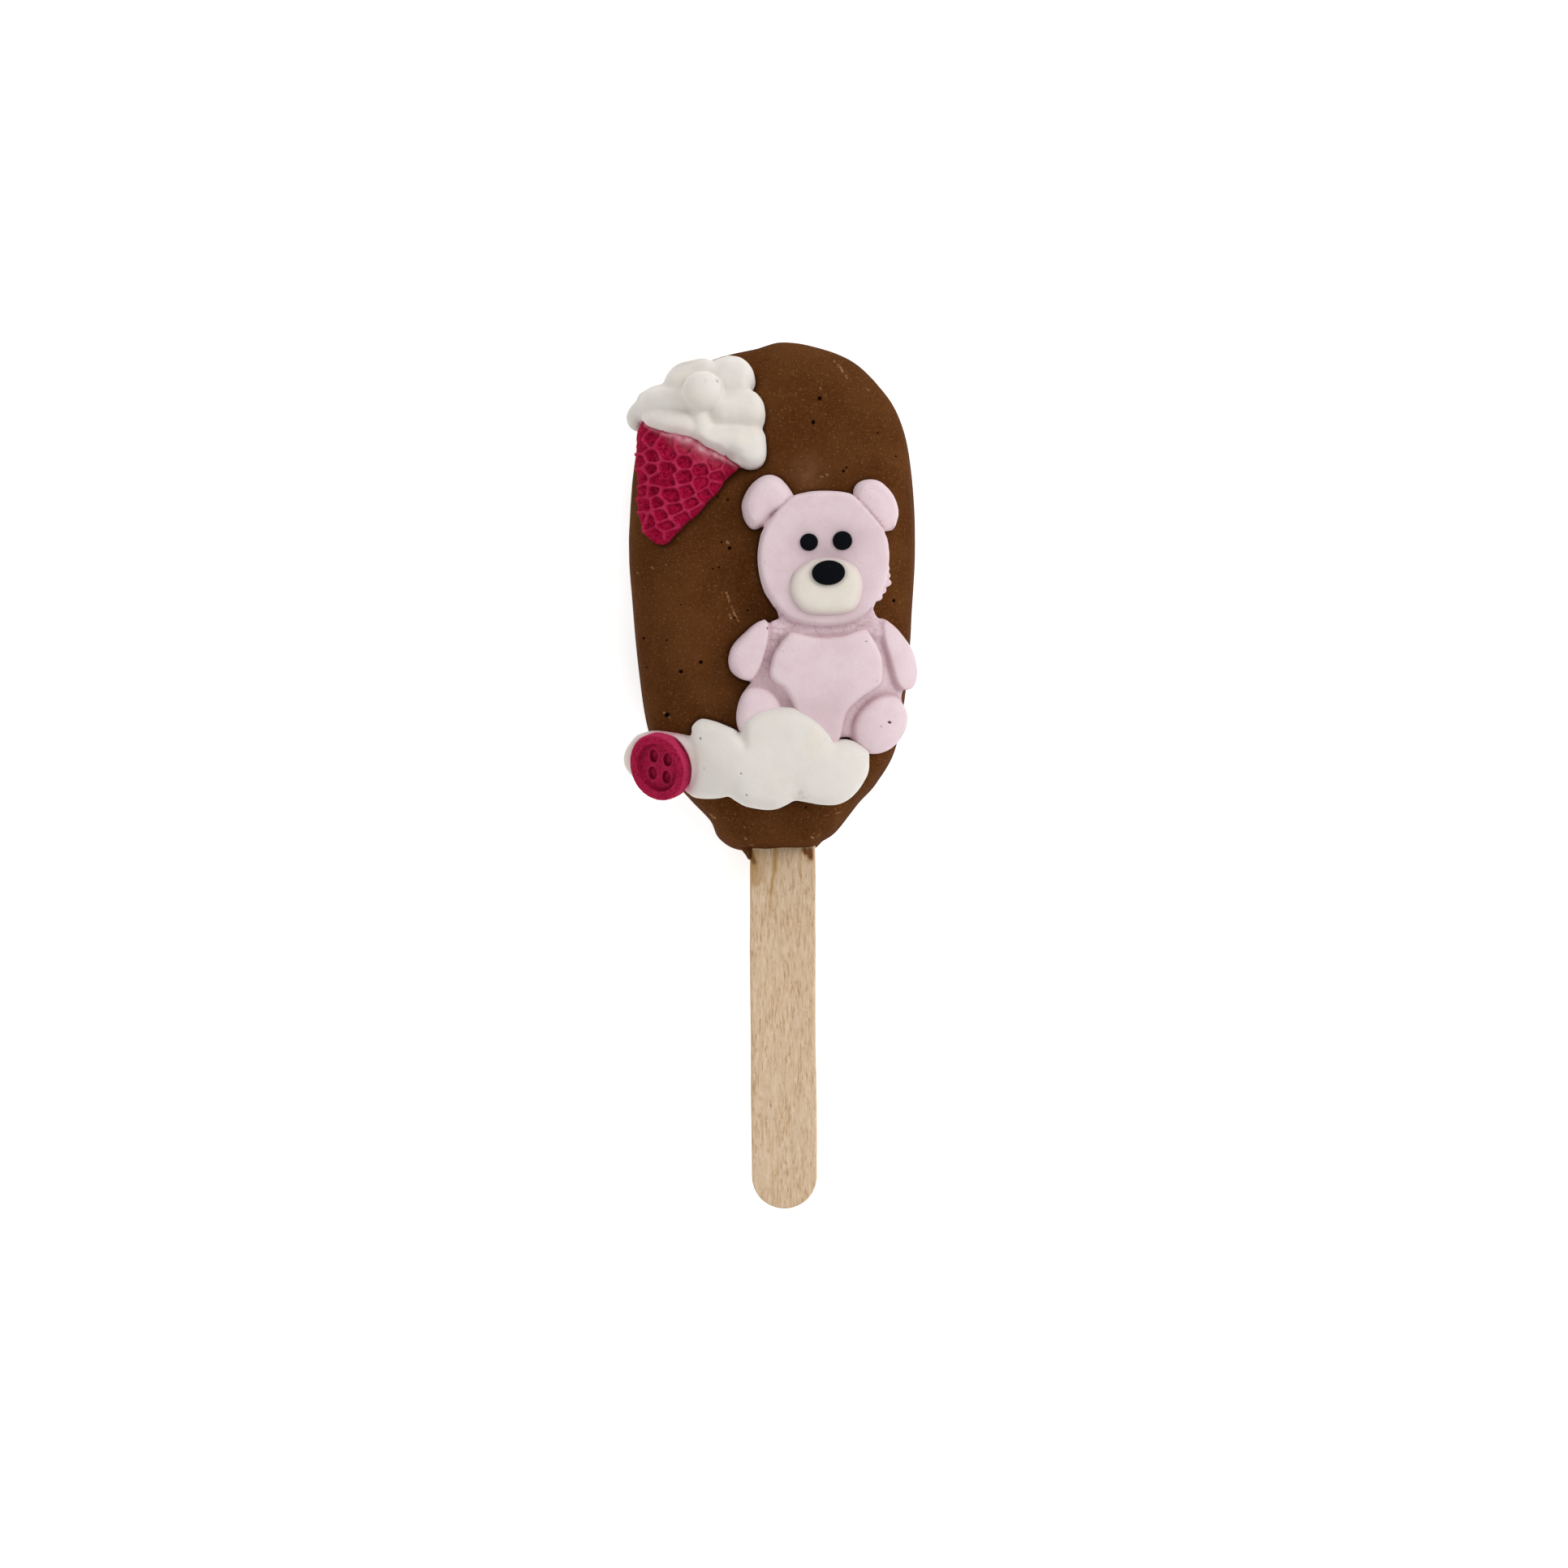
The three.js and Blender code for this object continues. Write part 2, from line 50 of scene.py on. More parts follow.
MM = 0.001
IMAGE = 1932  # pixels each way
CAMERA_HEIGHT = 450.0
CAMERA_X, CAMERA_Y = 0.208, -32.083
FOCAL = 3240.0  # in pixels
SENSOR = 36.0  # mm
PIXEL = 0.132  # mm across, at the height of the dressing

# ---------------------------------------------------------------- the bar's surface

BAR_CENTRE = np.array([-1.9, 0.0])
BAR_FOOT = 1.5  # radius of the rounded edge at its back
BAR_SHOULDER = 12.0  # the height at which its wall starts to roll over
BAR_DRAFT = 0.8  # how far its wall leans in up to the shoulder
BAR_ROLL = 10.5  # how far in from there the roll reaches
BAR_FACE = 22.4  # the height of its face where the roll ends
BAR_CROWN = 0.7  # how much its face rises towards the middle
BAR_POWER = 2.3  # how square its roll is, where 2 would be an ellipse
DRAPE_SLOPE = 1.0  # the steepest slope that the sugar paste follows
BAR_OUTLINE = [
    (1.1, 42.1), (-4.6, 41), (-12.8, 38.8), (-19.4, 34.2), (-23.9, 27.6), (-25.6, 18.7),
    (-26.1, 7.1), (-25.6, -1), (-24.6, -12), (-23, -22.5), (-20.2, -29.5), (-15.8, -34.7),
    (-12.3, -38.4), (-10.9, -41.3), (-7.5, -43.3), (-1, -43.4), (4.9, -43.2), (6.7, -41.9),
    (9.1, -40.2), (12.9, -35.4), (16, -31.9), (19.3, -25.7), (21.2, -14), (22, -2.3),
    (22.5, 7.1), (22.2, 17.3), (20.7, 27.4), (17.2, 34), (10.7, 39.6),
]
TABLE = 720  # directions in the outline's table
BLUR = 8  # directions on each side that are averaged


def loop(points, steps):
    """A closed Catmull-Rom curve through the points, with some steps to each span."""
    p = np.array(points, float)
    t = (np.arange(steps) / steps)[None, :, None]
    a, b, c, d = (np.roll(p, 1 - k, axis=0)[:, None, :] for k in range(4))
    curve = b + 0.5 * t * (c - a + t * (2 * a - 5 * b + 4 * c - d + t * (3 * (b - c) + d - a)))
    return curve.reshape(-1, 2)


def blurred(values, reach):
    """The running mean of values that go round, over reach places on each side."""
    return sum(np.roll(values, k) for k in range(-reach, reach + 1)) / (2 * reach + 1)


def bar_table():
    offset = loop(BAR_OUTLINE, 60) - BAR_CENTRE
    angle = np.arctan2(offset[:, 1], offset[:, 0]) % (2 * np.pi)
    order = np.argsort(angle)
    turn = np.arange(TABLE) * 2 * np.pi / TABLE
    radius = np.interp(turn, angle[order], np.hypot(*offset.T)[order], period=2 * np.pi)
    smooth = blurred(radius, BLUR)
    slope = (np.roll(smooth, -BLUR) - np.roll(smooth, BLUR)) / (2 * BLUR * 2 * np.pi / TABLE)
    return turn, radius, blurred(smooth / np.hypot(smooth, slope), BLUR)


TURN, RADIUS, FACING = bar_table()
CALM = blurred(blurred(RADIUS, 12), 12)  # without the notch beside the stick


def look_up(values, angle):
    return np.interp(angle, TURN, values, period=2 * np.pi)


def inset_at(x, y, radius=RADIUS):
    """How far points lie inside the bar's outline, and their share of the way to it."""
    dx, dy = x - BAR_CENTRE[0], y - BAR_CENTRE[1]
    angle = np.arctan2(dy, dx)
    reach = np.hypot(dx, dy)
    edge = look_up(radius, angle)
    return (edge - reach) * look_up(FACING, angle), reach / edge


def face_height(inset, share):
    """The height of the bar over its wall, at inset from its outline."""
    across = np.clip((inset - BAR_DRAFT) / BAR_ROLL, 0, 1)
    rise = (1 - (1 - across) ** BAR_POWER) ** (1 / BAR_POWER)
    crown = BAR_CROWN * (1 - np.minimum(share, 1) ** 2)
    return BAR_SHOULDER + (BAR_FACE - BAR_SHOULDER) * rise + crown


def steepest_draped():
    """How far inside the outline the roll is no steeper than the sugar paste follows."""
    inset = np.arange(BAR_DRAFT + 0.01, BAR_DRAFT + BAR_ROLL, 0.01)
    slope = np.diff(face_height(inset, 1.0)) / 0.01
    return inset[np.argmax(slope <= DRAPE_SLOPE)]


DRAPE_EDGE = steepest_draped()


def drape_height(x, y):
    """The surface that sugar paste lies on: the bar's face, then a straight slope past it."""
    inset, share = inset_at(x, y, CALM)
    past = np.maximum(0, DRAPE_EDGE - inset)
    return face_height(np.maximum(inset, DRAPE_EDGE), share) - DRAPE_SLOPE * past


def draped(u, v, h):
    """Points of the flat layout, laid over the bar."""
    step = 0.4
    slope_x = (drape_height(u + step, v) - drape_height(u - step, v)) / (2 * step)
    slope_y = (drape_height(u, v + step) - drape_height(u, v - step)) / (2 * step)
    long = np.sqrt(slope_x ** 2 + slope_y ** 2 + 1)
    return np.stack([u - h * slope_x / long, v - h * slope_y / long, drape_height(u, v) + h / long], -1)


def seen_at(points):
    """The pixel of the photograph at which the camera sees each point."""
    scale = FOCAL / (CAMERA_HEIGHT - points[:, 2])
    px = IMAGE / 2 + (points[:, 0] - CAMERA_X) * scale
    py = IMAGE / 2 - (points[:, 1] - CAMERA_Y) * scale
    return np.stack([px, py], -1)


def under(pixels, h):
    """The places in the flat layout that the camera sees at some pixels, at height h.

    A pixel that comes as x, y, height has its own height.
    """
    h = np.array([pixel[2] if len(pixel) > 2 else h for pixel in pixels], float)
    pixels = np.array([pixel[:2] for pixel in pixels], float)
    uv = np.zeros_like(pixels)
    for _ in range(60):  # each time it goes 0.6 of the way that is left
        off = pixels - seen_at(draped(uv[:, 0], uv[:, 1], h))
        uv += 0.6 * off * [PIXEL, -PIXEL]
    return uv


# ---------------------------------------------------------------- noise and soft steps

def lumps(points, size, seed):
    """Smooth noise from -1 to 1, with features about size mm wide."""
    count = 32  # cells each way, after which the noise repeats
    lattice = np.random.default_rng(seed).uniform(-1, 1, (count, count, count))
    place = points / size
    low = np.floor(place).astype(int)
    part = place - low
    part = part * part * (3 - 2 * part)
    total = 0
    for corner in range(8):
        step = np.array([corner & 1, corner >> 1 & 1, corner >> 2 & 1])
        weight = np.prod(np.where(step, part, 1 - part), axis=1)
        index = (low + step) % count
        total = total + weight * lattice[index[:, 0], index[:, 1], index[:, 2]]
    return total


def layered(points, *layers):
    """Lumps of several sizes together. A layer is its amount, its size and its seed."""
    return sum(amount * lumps(points, size, seed) for amount, size, seed in layers)


def ease(value, low, high):
    """0 below low, 1 above high, and smooth between them."""
    t = np.clip((value - low) / (high - low), 0, 1)
    return t * t * (3 - 2 * t)


def bell(value, width):
    """1 at 0, fading smoothly to both sides over about width."""
    return np.exp(-(value / width) ** 2)


def softened(values, reach):
    """A map with its creases smoothed away, over a few times reach cells."""
    for axis in (0, 1, 0, 1, 0, 1):
        values = sum(np.roll(values, k, axis) for k in range(-reach, reach + 1)) / (2 * reach + 1)
    return values


# ---------------------------------------------------------------- distances

HIGH = 1e3  # mm, farther than anything in the scene


def segment_distance(points, ends):
    """How far points are from the line between two places."""
    a, b = ends
    along = np.clip((points - a) @ (b - a) / max((b - a) @ (b - a), 1e-9), 0, 1)
    return np.linalg.norm(points - a - along[:, None] * (b - a), axis=1)


def path_distance(points, path):
    """How far points are from a path through some places."""
    return np.min([segment_distance(points, ends) for ends in zip(path, path[1:])], axis=0)


def rim_inset(points, rim):
    """How far points lie inside a closed rim, negative outside it."""
    far = np.full(len(points), HIGH)
    inside = np.zeros(len(points), bool)
    x, y = points.T
    for (ax, ay), (bx, by) in zip(rim, np.roll(rim, -1, axis=0)):
        ex, ey = bx - ax, by - ay
        t = np.clip(((x - ax) * ex + (y - ay) * ey) / (ex * ex + ey * ey + 1e-12), 0, 1)
        far = np.minimum(far, (x - ax - t * ex) ** 2 + (y - ay - t * ey) ** 2)
        inside ^= ((ay > y) != (by > y)) & (x < ax + (y - ay) * ex / (ey if ey else 1e-12))
    return np.where(inside, 1, -1) * np.sqrt(far)


# ---------------------------------------------------------------- fields

FOOT = -0.3  # how far sugar paste is pressed into the chocolate
NEAR = 3  # mm, within which a field says how far the surface is


class Block:
    """A block of cells of the flat layout in which some forms are joined."""

    def __init__(self, low, high, cell):
        self.low, self.cell = np.array(low, float), cell
        axes = [np.arange(a, b, cell) for a, b in zip(low, high)]
        self.u, self.v = np.meshgrid(axes[0], axes[1], indexing="ij")
        self.h = axes[2][None, None, :]
        self.field = np.full((len(axes[0]), len(axes[1]), len(axes[2])), HIGH, np.float32)

    def flat(self):
        return np.stack([self.u.ravel(), self.v.ravel(), np.zeros(self.u.size)], -1)

    def waves(self, size, seed):
        return lumps(self.flat(), size, seed).reshape(self.u.shape)

    def inset(self, rim):
        """How far each column lies inside a closed rim, negative outside it."""
        return rim_inset(self.flat()[:, :2], rim).reshape(self.u.shape)

    def mound(self, inset, top, edge, drop=None, foot=FOOT, power=2.2):
        """A form with upright walls, whose top edge rolls over across edge and down by drop."""
        drop = np.broadcast_to(edge if drop is None else drop, self.u.shape)
        top = np.broadcast_to(top, self.u.shape)
        across = (np.maximum(0, (edge - inset) / edge) ** power)[..., None]
        up = np.maximum(0, (self.h - (top - drop)[..., None]) / drop[..., None]) ** power
        field = edge * ((across + up) ** (1 / power) - 1)
        return np.maximum(field, foot - self.h).astype(np.float32)

    def add(self, field, soft=0.0):
        """Joins a form, with a fillet of about that radius."""
        if soft:
            near = np.maximum(0, 1 - np.abs(self.field - field) / soft)
            self.field = np.minimum(self.field, field) - soft / 4 * near ** 2
        else:
            self.field = np.minimum(self.field, field)

    def cut(self, field):
        self.field = np.maximum(self.field, -field.astype(np.float32))

    def away(self, path):
        """How far each column is from a path."""
        return path_distance(self.flat()[:, :2], path).reshape(self.u.shape)

    def seen(self, h):
        """The pixels of the photograph at which the camera sees the columns, at height h."""
        return seen_at(draped(self.u, self.v, h).reshape(-1, 3)).reshape(*self.u.shape, 2)

    def world(self):
        """Where the cells lie once the flat layout is laid over the bar."""
        base = draped(self.u, self.v, 0.0)
        up = draped(self.u, self.v, 1.0) - base
        return base[..., None, :] + up[..., None, :] * self.h[..., None]

    def dent(self, uv, top, size, depth=None):
        """A small pit in the top, with its middle at uv."""
        near = np.hypot(self.u - uv[0], self.v - uv[1])[..., None]
        deep = (self.h - top) / (depth or size)
        self.cut(size * (np.sqrt((near / size) ** 2 + deep ** 2) - 1))

    def over(self, values, points):
        """What a map says at the columns that hold some points."""
        column = ((points[:, :2] - self.low[:2]) / self.cell).round().astype(int)
        column = np.clip(column, 0, np.array(self.u.shape) - 1)
        return values[column[:, 0], column[:, 1]]

    def surface(self):
        """The meshed surface: points in the flat layout, and quads."""
        grid = openvdb.FloatGrid(HIGH)
        grid.copyFromArray(np.clip(self.field, -NEAR, NEAR))
        points, quads = grid.convertToQuads(0.0)
        return self.low + points.astype(float) * self.cell, quads.astype(int)


# ---------------------------------------------------------------- meshes

def put(name, points, faces, node, looks):
    """Makes an object from points in mm, which stands for a CAD node or is an addition to it."""
    mesh = bpy.data.meshes.new(name)
    mesh.from_pydata((points * MM).tolist(), [], faces if isinstance(faces, list) else faces.tolist())
    mesh.validate()
    mesh.shade_smooth()
    for key, values in looks.items():
        layer = mesh.attributes.new(key, "FLOAT", "POINT")
        layer.data.foreach_set("value", np.ascontiguousarray(values, np.float32))
    thing = bpy.data.objects.new(name, mesh)
    bpy.context.scene.collection.objects.link(thing)
    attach(thing, "root")
    if node:
        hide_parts(node)
    return thing


def normals_of(points, quads):
    """The direction out of the surface at each point."""
    a, b, c, d = (points[quads[:, k]] for k in range(4))
    face = np.cross(c - a, d - b)
    total = np.zeros_like(points)
    for k in range(4):
        for axis in range(3):
            total[:, axis] += np.bincount(quads[:, k], face[:, axis], len(points))
    return total / np.maximum(np.linalg.norm(total, axis=1), 1e-12)[:, None]


def relaxed(points, quads, rounds):
    """Evens out the steps that the cells leave in a surface."""
    count = np.bincount(quads.ravel(), minlength=len(points))[:, None] * 2
    for _ in range(rounds):
        total = np.zeros_like(points)
        for k in range(4):
            for near in (points[quads[:, (k + 1) % 4]], points[quads[:, k - 1]]):
                for axis in range(3):
                    total[:, axis] += np.bincount(quads[:, k], near[:, axis], len(points))
        points = 0.5 * points + 0.5 * total / count
    return points


def laid(block):
    """The block's surface in the flat layout, its quads, and its points and normals on the bar."""
    flat, quads = block.surface()
    flat = relaxed(flat, quads, 1)
    points = draped(*flat.T)
    return flat, quads, points, normals_of(points, quads)


def pinholes(flat, spots, rim, floor, above):
    """How deep points are in some pits, where shade is painted from rim to floor times their size."""
    pit = np.zeros(len(flat))
    for uv, size in spots:
        pit = np.maximum(pit, ease(np.hypot(*(flat[:, :2] - uv).T), size * rim, size * floor))
    return pit * (flat[:, 2] > above)


# ---------------------------------------------------------------- materials

def linear(colour):
    """Turns a screen colour of 0 to 255 into a linear one."""
    c = np.array(colour, float) / 255
    return (*np.where(c <= 0.04045, c / 12.92, ((c + 0.055) / 1.055) ** 2.4), 1.0)


class Paint:
    """A procedural material. Its patterns are laid out in millimetres."""

    def __init__(self, name, colour, roughness, specular):
        self.material = bpy.data.materials.new(name)
        self.material.use_nodes = True
        self.tree = self.material.node_tree
        self.shader = self.tree.nodes["Principled BSDF"]
        self.set("Roughness", roughness)
        self.set("Specular IOR Level", specular)
        self.place = self.moved(self.node("TexCoord", {})["Object"], (1 / MM,) * 3)
        self.tone = linear(colour)
        self.height = None

    def set(self, key, value):
        self.shader.inputs[key].default_value = value

    def translucent(self, weight, radius):
        """Lets light in, each of its colours as far as radius says in mm."""
        self.set("Subsurface Weight", weight)
        self.set("Subsurface Radius", radius)
        self.set("Subsurface Scale", MM)

    def node(self, kind, inputs, **settings):
        """Adds a node, whose inputs are sockets or plain values, and gives its outputs."""
        node = self.tree.nodes.new("ShaderNode" + kind)
        for key, value in settings.items():
            setattr(node, key, value)
        for key, value in inputs.items():
            if hasattr(value, "is_linked"):
                self.tree.links.new(value, node.inputs[key])
            else:
                node.inputs[key].default_value = value
        return node.outputs

    def moved(self, vector, scale):
        return self.node("Mapping", {"Vector": vector, "Scale": scale})[0]

    def noise(self, scale, detail, rough=0.5, stretch=None, distortion=0.0):
        place = self.moved(self.place, stretch) if stretch else self.place
        inputs = {"Scale": scale, "Detail": detail, "Roughness": rough, "Distortion": distortion}
        return self.node("TexNoise", {"Vector": place, **inputs})["Fac"]

    def given(self, name):
        """One of the maps that a piece carries with its points."""
        return self.node("Attribute", {}, attribute_name=name)["Fac"]

    def spread(self, value, low, high, to_low=0.0, to_high=1.0):
        inputs = {"From Min": low, "From Max": high, "To Min": to_low, "To Max": to_high}
        return self.node("MapRange", {"Value": value, **inputs}, interpolation_type="SMOOTHSTEP")[0]

    def times(self, a, b):
        return self.node("Math", {0: a, 1: b}, operation="MULTIPLY")[0]

    def mix(self, amount, a, b):
        inputs = {"Factor": amount, 6: a, 7: b}  # the last two are its colours
        return self.node("Mix", inputs, data_type="RGBA")[2]

    def tint(self, amount, colour):
        """Mixes a colour in, by a pattern or by the map of that name."""
        amount = self.given(amount) if isinstance(amount, str) else amount
        self.tone = self.mix(amount, self.tone, linear(colour))

    def fleck(self, pattern, low, high, most, colour):
        """Mixes a colour in, by up to most, as a pattern goes from low to high."""
        self.tint(self.spread(pattern, low, high, 0.0, most), colour)

    def bump(self, height, distance, strength):
        inputs = {"Height": height, "Distance": distance * MM, "Strength": strength}
        if self.height:
            inputs["Normal"] = self.height
        self.height = self.node("Bump", inputs)[0]

    def done(self):
        self.tree.links.new(self.tone, self.shader.inputs["Base Color"])
        if self.height:
            self.tree.links.new(self.height, self.shader.inputs["Normal"])
        return self.material


def chocolate():
    paint = Paint("milk_chocolate", (80, 44, 17), 0.7, 0.003)
    paint.fleck(paint.noise(0.11, 3, 0.6), 0.35, 0.65, 1.0, (91, 54, 25))
    paint.fleck(paint.noise(1.7, 2, 0.6), 0.42, 0.75, 0.5, (98, 62, 36))
    paint.fleck(paint.noise(3.2, 1), 0.64, 0.74, 0.85, (128, 88, 58))
    paint.fleck(paint.noise(5.5, 1), 0.62, 0.72, 0.6, (120, 80, 50))
    paint.fleck(paint.noise(2.6, 1), 0.33, 0.25, 0.5, (58, 30, 14))
    # bloom, and a painted highlight on the lip beside the stick
    paint.tint("bloom", (170, 124, 92))
    # painted shade round the sugar paste
    paint.tint("contact_shade", (34, 16, 7))
    # painted shade in the pits
    paint.tint("pit", (16, 7, 3))
    paint.bump(paint.noise(1.9, 3, 0.6), 0.05, 0.5)
    return paint.done()


def paste(name, light, shade, deep, grit):
    """Sugar paste: a light matte body, faint clouding, powdery grit and painted shade in hollows."""
    paint = Paint(name, light, 0.65, 0.05)
    paint.translucent(0.12, (0.9, 0.6, 0.5))
    paint.fleck(paint.noise(0.28, 3, 0.6), 0.35, 0.68, 1.0, shade)
    paint.fleck(paint.noise(4.5, 2, 0.6), 0.55, 0.8, 0.35 * grit, deep)
    paint.fleck(paint.noise(1.25, 1, 0.4), 0.735, 0.8, 0.35 * grit, deep)
    # painted shade in creases and hollows
    paint.tint("hollow_shade", deep)
    return paint


def pink():
    paint = paste("pink_paste", (231, 211, 216), (226, 204, 209), (182, 142, 153), 1.0)
    rough = paint.given("rough")
    mottle = paint.spread(paint.noise(2.2, 3, 0.7), 0.42, 0.62)
    paint.tint(paint.times(rough, mottle), (172, 142, 152))
    # painted shade round the eyes, and a painted shadow round the muzzle
    paint.tint("halo_shade", (144, 114, 121))
    # painted shade in the small dents
    paint.tint("pit", (48, 22, 26))
    paint.bump(paint.noise(3.5, 2, 0.6), 0.03, 0.35)
    paint.bump(paint.times(paint.noise(2.0, 3, 0.7), rough), 0.12, 0.8)
    return paint.done()


def ivory():
    paint = paste("ivory_paste", (233, 225, 214), (230, 221, 209), (214, 196, 186), 0.5)
    paint.tint("blush", (219, 196, 198))
    # painted shade on the muzzle round the nose
    paint.tint("halo_shade", (188, 182, 178))
    paint.bump(paint.noise(3.0, 2, 0.6), 0.02, 0.3)
    return paint.done()


def white():
    paint = paste("white_paste", (231, 226, 219), (228, 222, 215), (190, 180, 172), 0.6)
    paint.fleck(paint.noise(0.16, 2), 0.5, 0.72, 0.5, (236, 226, 212))
    paint.tint("bleed", (214, 130, 150))
    # painted shade in the small pits and in the hole in the ball, and dirt on the cloud
    paint.tint("pit", (96, 84, 70))
    paint.bump(paint.noise(2.4, 3, 0.6), 0.03, 0.3)
    return paint.done()


def black():
    paint = Paint("black_paste", (6, 8, 11), 0.7, 0.04)
    paint.tint(paint.noise(2.5, 3, 0.6), (14, 16, 21))
    paint.fleck(paint.noise(3.6, 1), 0.72, 0.78, 0.35, (70, 76, 88))
    paint.bump(paint.noise(4.0, 2, 0.6), 0.02, 0.3)
    return paint.done()


def magenta():
    paint = Paint("magenta_paste", (178, 25, 66), 0.8, 0.02)
    paint.translucent(0.08, (0.6, 0.15, 0.2))
    paint.fleck(paint.noise(0.5, 3, 0.6), 0.35, 0.65, 1.0, (168, 19, 58))
    # painted shade in the cone's cells
    paint.tint("hollow_shade", (170, 16, 58))
    dark = paint.spread(paint.noise(3.0, 3, 0.7), 0.48, 0.37, 0.0, 0.8)
    off_ridge = paint.spread(paint.given("ridge_highlight"), 0, 1, 1.0, 0.15)
    paint.tint(paint.times(dark, off_ridge), (98, 0, 22))
    paint.fleck(paint.noise(3.2, 2, 0.6), 0.56, 0.68, 0.5, (198, 66, 104))
    # painted highlight on the cone's ridges, and painted light on the button's hole lips and outer wall
    paint.tint("ridge_highlight", (192, 56, 96))
    # pores, and on the button painted shade in its holes and a painted shadow in its well
    paint.tint("pore", (98, 0, 24))
    paint.tint("bleed", (226, 180, 190))
    paint.bump(paint.noise(2.6, 4, 0.75), 0.16, 0.9)
    return paint.done()


def wood():
    paint = Paint("birch_wood", (209, 179, 145), 0.7, 0.04)
    fibre = paint.noise(2.2, 4, 0.65, stretch=(1, 0.06, 1), distortion=0.15)
    paint.fleck(fibre, 0.3, 0.7, 1.0, (222, 196, 164))
    short = paint.noise(3.6, 2, 0.6, stretch=(1, 0.15, 1), distortion=0.4)
    paint.fleck(short, 0.52, 0.68, 0.75, (178, 145, 110))
    paint.fleck(short, 0.46, 0.32, 0.7, (232, 210, 184))
    paint.fleck(paint.noise(0.35, 3, 0.6, stretch=(1, 0.3, 1)), 0.48, 0.68, 0.4, (224, 199, 172))
    paint.fleck(paint.noise(3.2, 1, stretch=(1, 0.28, 1)), 0.68, 0.76, 0.5, (166, 131, 96))
    paint.tint("stain", (180, 140, 82))
    paint.tint("knot", (118, 72, 38))
    paint.bump(short, 0.05, 0.5)
    return paint.done()


# ---------------------------------------------------------------- chocolate bar

AROUND = 600  # points in each ring of the bar
PITS = [  # x, y in the photograph, and radius in mm
    (1010, 491, 0.42), (1002, 520, 0.38), (1081.5, 533, 0.25), (1104, 562, 0.22), (1039, 580.5, 0.34),
    (1042.7, 576, 0.26), (884.5, 612, 0.22), (896.6, 615.5, 0.26), (899, 675, 0.36), (886, 699, 0.2),
    (878.7, 700.6, 0.2), (1101, 740, 0.4), (793, 786, 0.3), (821.5, 788.6, 0.2), (863.4, 815.7, 0.38),
    (839, 827.5, 0.42), (796.5, 822, 0.22), (838.9, 745, 0.2), (822.3, 881, 0.55), (993, 994.7, 0.24),
    (905, 761, 0.22), (921, 752, 0.2), (1016.5, 586, 0.2), (889, 668, 0.22),
]
# streaks of bloom; the one from 873, 1003 is a painted highlight on the lip beside the stick
BLOOM_AND_HIGHLIGHT = [  # from x, y to x, y in the photograph, and half width in mm
    (1033, 449, 1039, 459, 0.2), (1027, 443, 1028.5, 446, 0.16), (1042, 463, 1043.5, 466, 0.16),
    (1011, 478, 1012, 480, 0.16), (1012, 587, 1020, 585, 0.24), (899, 741, 905, 756, 0.26),
    (905, 756, 910, 765, 0.2), (895, 730, 898, 738, 0.16), (899, 757, 901, 762, 0.2),
    (1069, 480, 1071, 481, 0.16), (1089, 524, 1091, 526, 0.14), (896, 668, 898, 671, 0.3),
    (785, 705, 787, 707, 0.16), (803, 699, 805, 701, 0.16), (917, 1031, 919, 1034, 0.16),
    (1000, 1031, 1003, 1034, 0.18), (924, 1041, 928, 1042, 0.12), (873, 1003, 881, 1008, 0.22),
    (818, 878, 827, 885, 0.2), (1030, 1002, 1036, 1001, 0.1), (1003, 527, 1008, 528, 0.1),
    (1003, 1027, 1005, 1026, 0.1), (1007, 1031, 1010, 1028, 0.12), (916, 1018, 918, 1020, 0.1),
    (986, 1036, 988, 1037, 0.1), (1016, 1005, 1021, 1004, 0.1), (834, 662, 836, 664, 0.12),
]
SMUDGE = (995, 582)  # a faint patch of bloom


def bar_point(angle, inset, height=None):
    """Points all round the bar at some inset, on its face where no height is given."""
    edge = look_up(RADIUS, angle)
    reach = edge - inset / look_up(FACING, angle)
    x = BAR_CENTRE[0] + reach * np.cos(angle)
    y = BAR_CENTRE[1] + reach * np.sin(angle)
    z = face_height(inset, reach / edge) if height is None else np.full_like(x, height)
    return np.stack([x, y, z], -1)


def bar_rings():
    """Rings round the bar: from the middle of its back over the foot, wall and rolled edge to its crown."""
    angle = np.arange(AROUND) * 2 * np.pi / AROUND
    rings = []
    for share in (0.12, 0.3, 0.5, 0.7, 0.85, 0.95):
        foot = bar_point(angle, BAR_FOOT, 0.0)
        foot[:, :2] = BAR_CENTRE + share * (foot[:, :2] - BAR_CENTRE)
        rings.append(foot)
    for turn in np.radians(np.linspace(0, 90, 7)):
        rings.append(bar_point(angle, BAR_FOOT * (1 - math.sin(turn)), BAR_FOOT * (1 - math.cos(turn))))
    for part in np.linspace(0, 1, 24)[1:]:
        height = BAR_FOOT + (BAR_SHOULDER - BAR_FOOT) * part
        rings.append(bar_point(angle, BAR_DRAFT * part ** 2, height))
    for part in np.linspace(0, 1, 46)[1:]:
        rings.append(bar_point(angle, BAR_DRAFT + BAR_ROLL * part ** 2.2))
    edge = bar_point(angle, BAR_DRAFT + BAR_ROLL)
    for share in np.linspace(1, 0.012, 64)[1:]:
        xy = BAR_CENTRE + share * (edge[:, :2] - BAR_CENTRE)
        inset, part = inset_at(xy[:, 0], xy[:, 1])
        rings.append(np.column_stack([xy, face_height(np.maximum(inset, BAR_DRAFT + BAR_ROLL), part)]))
    return rings


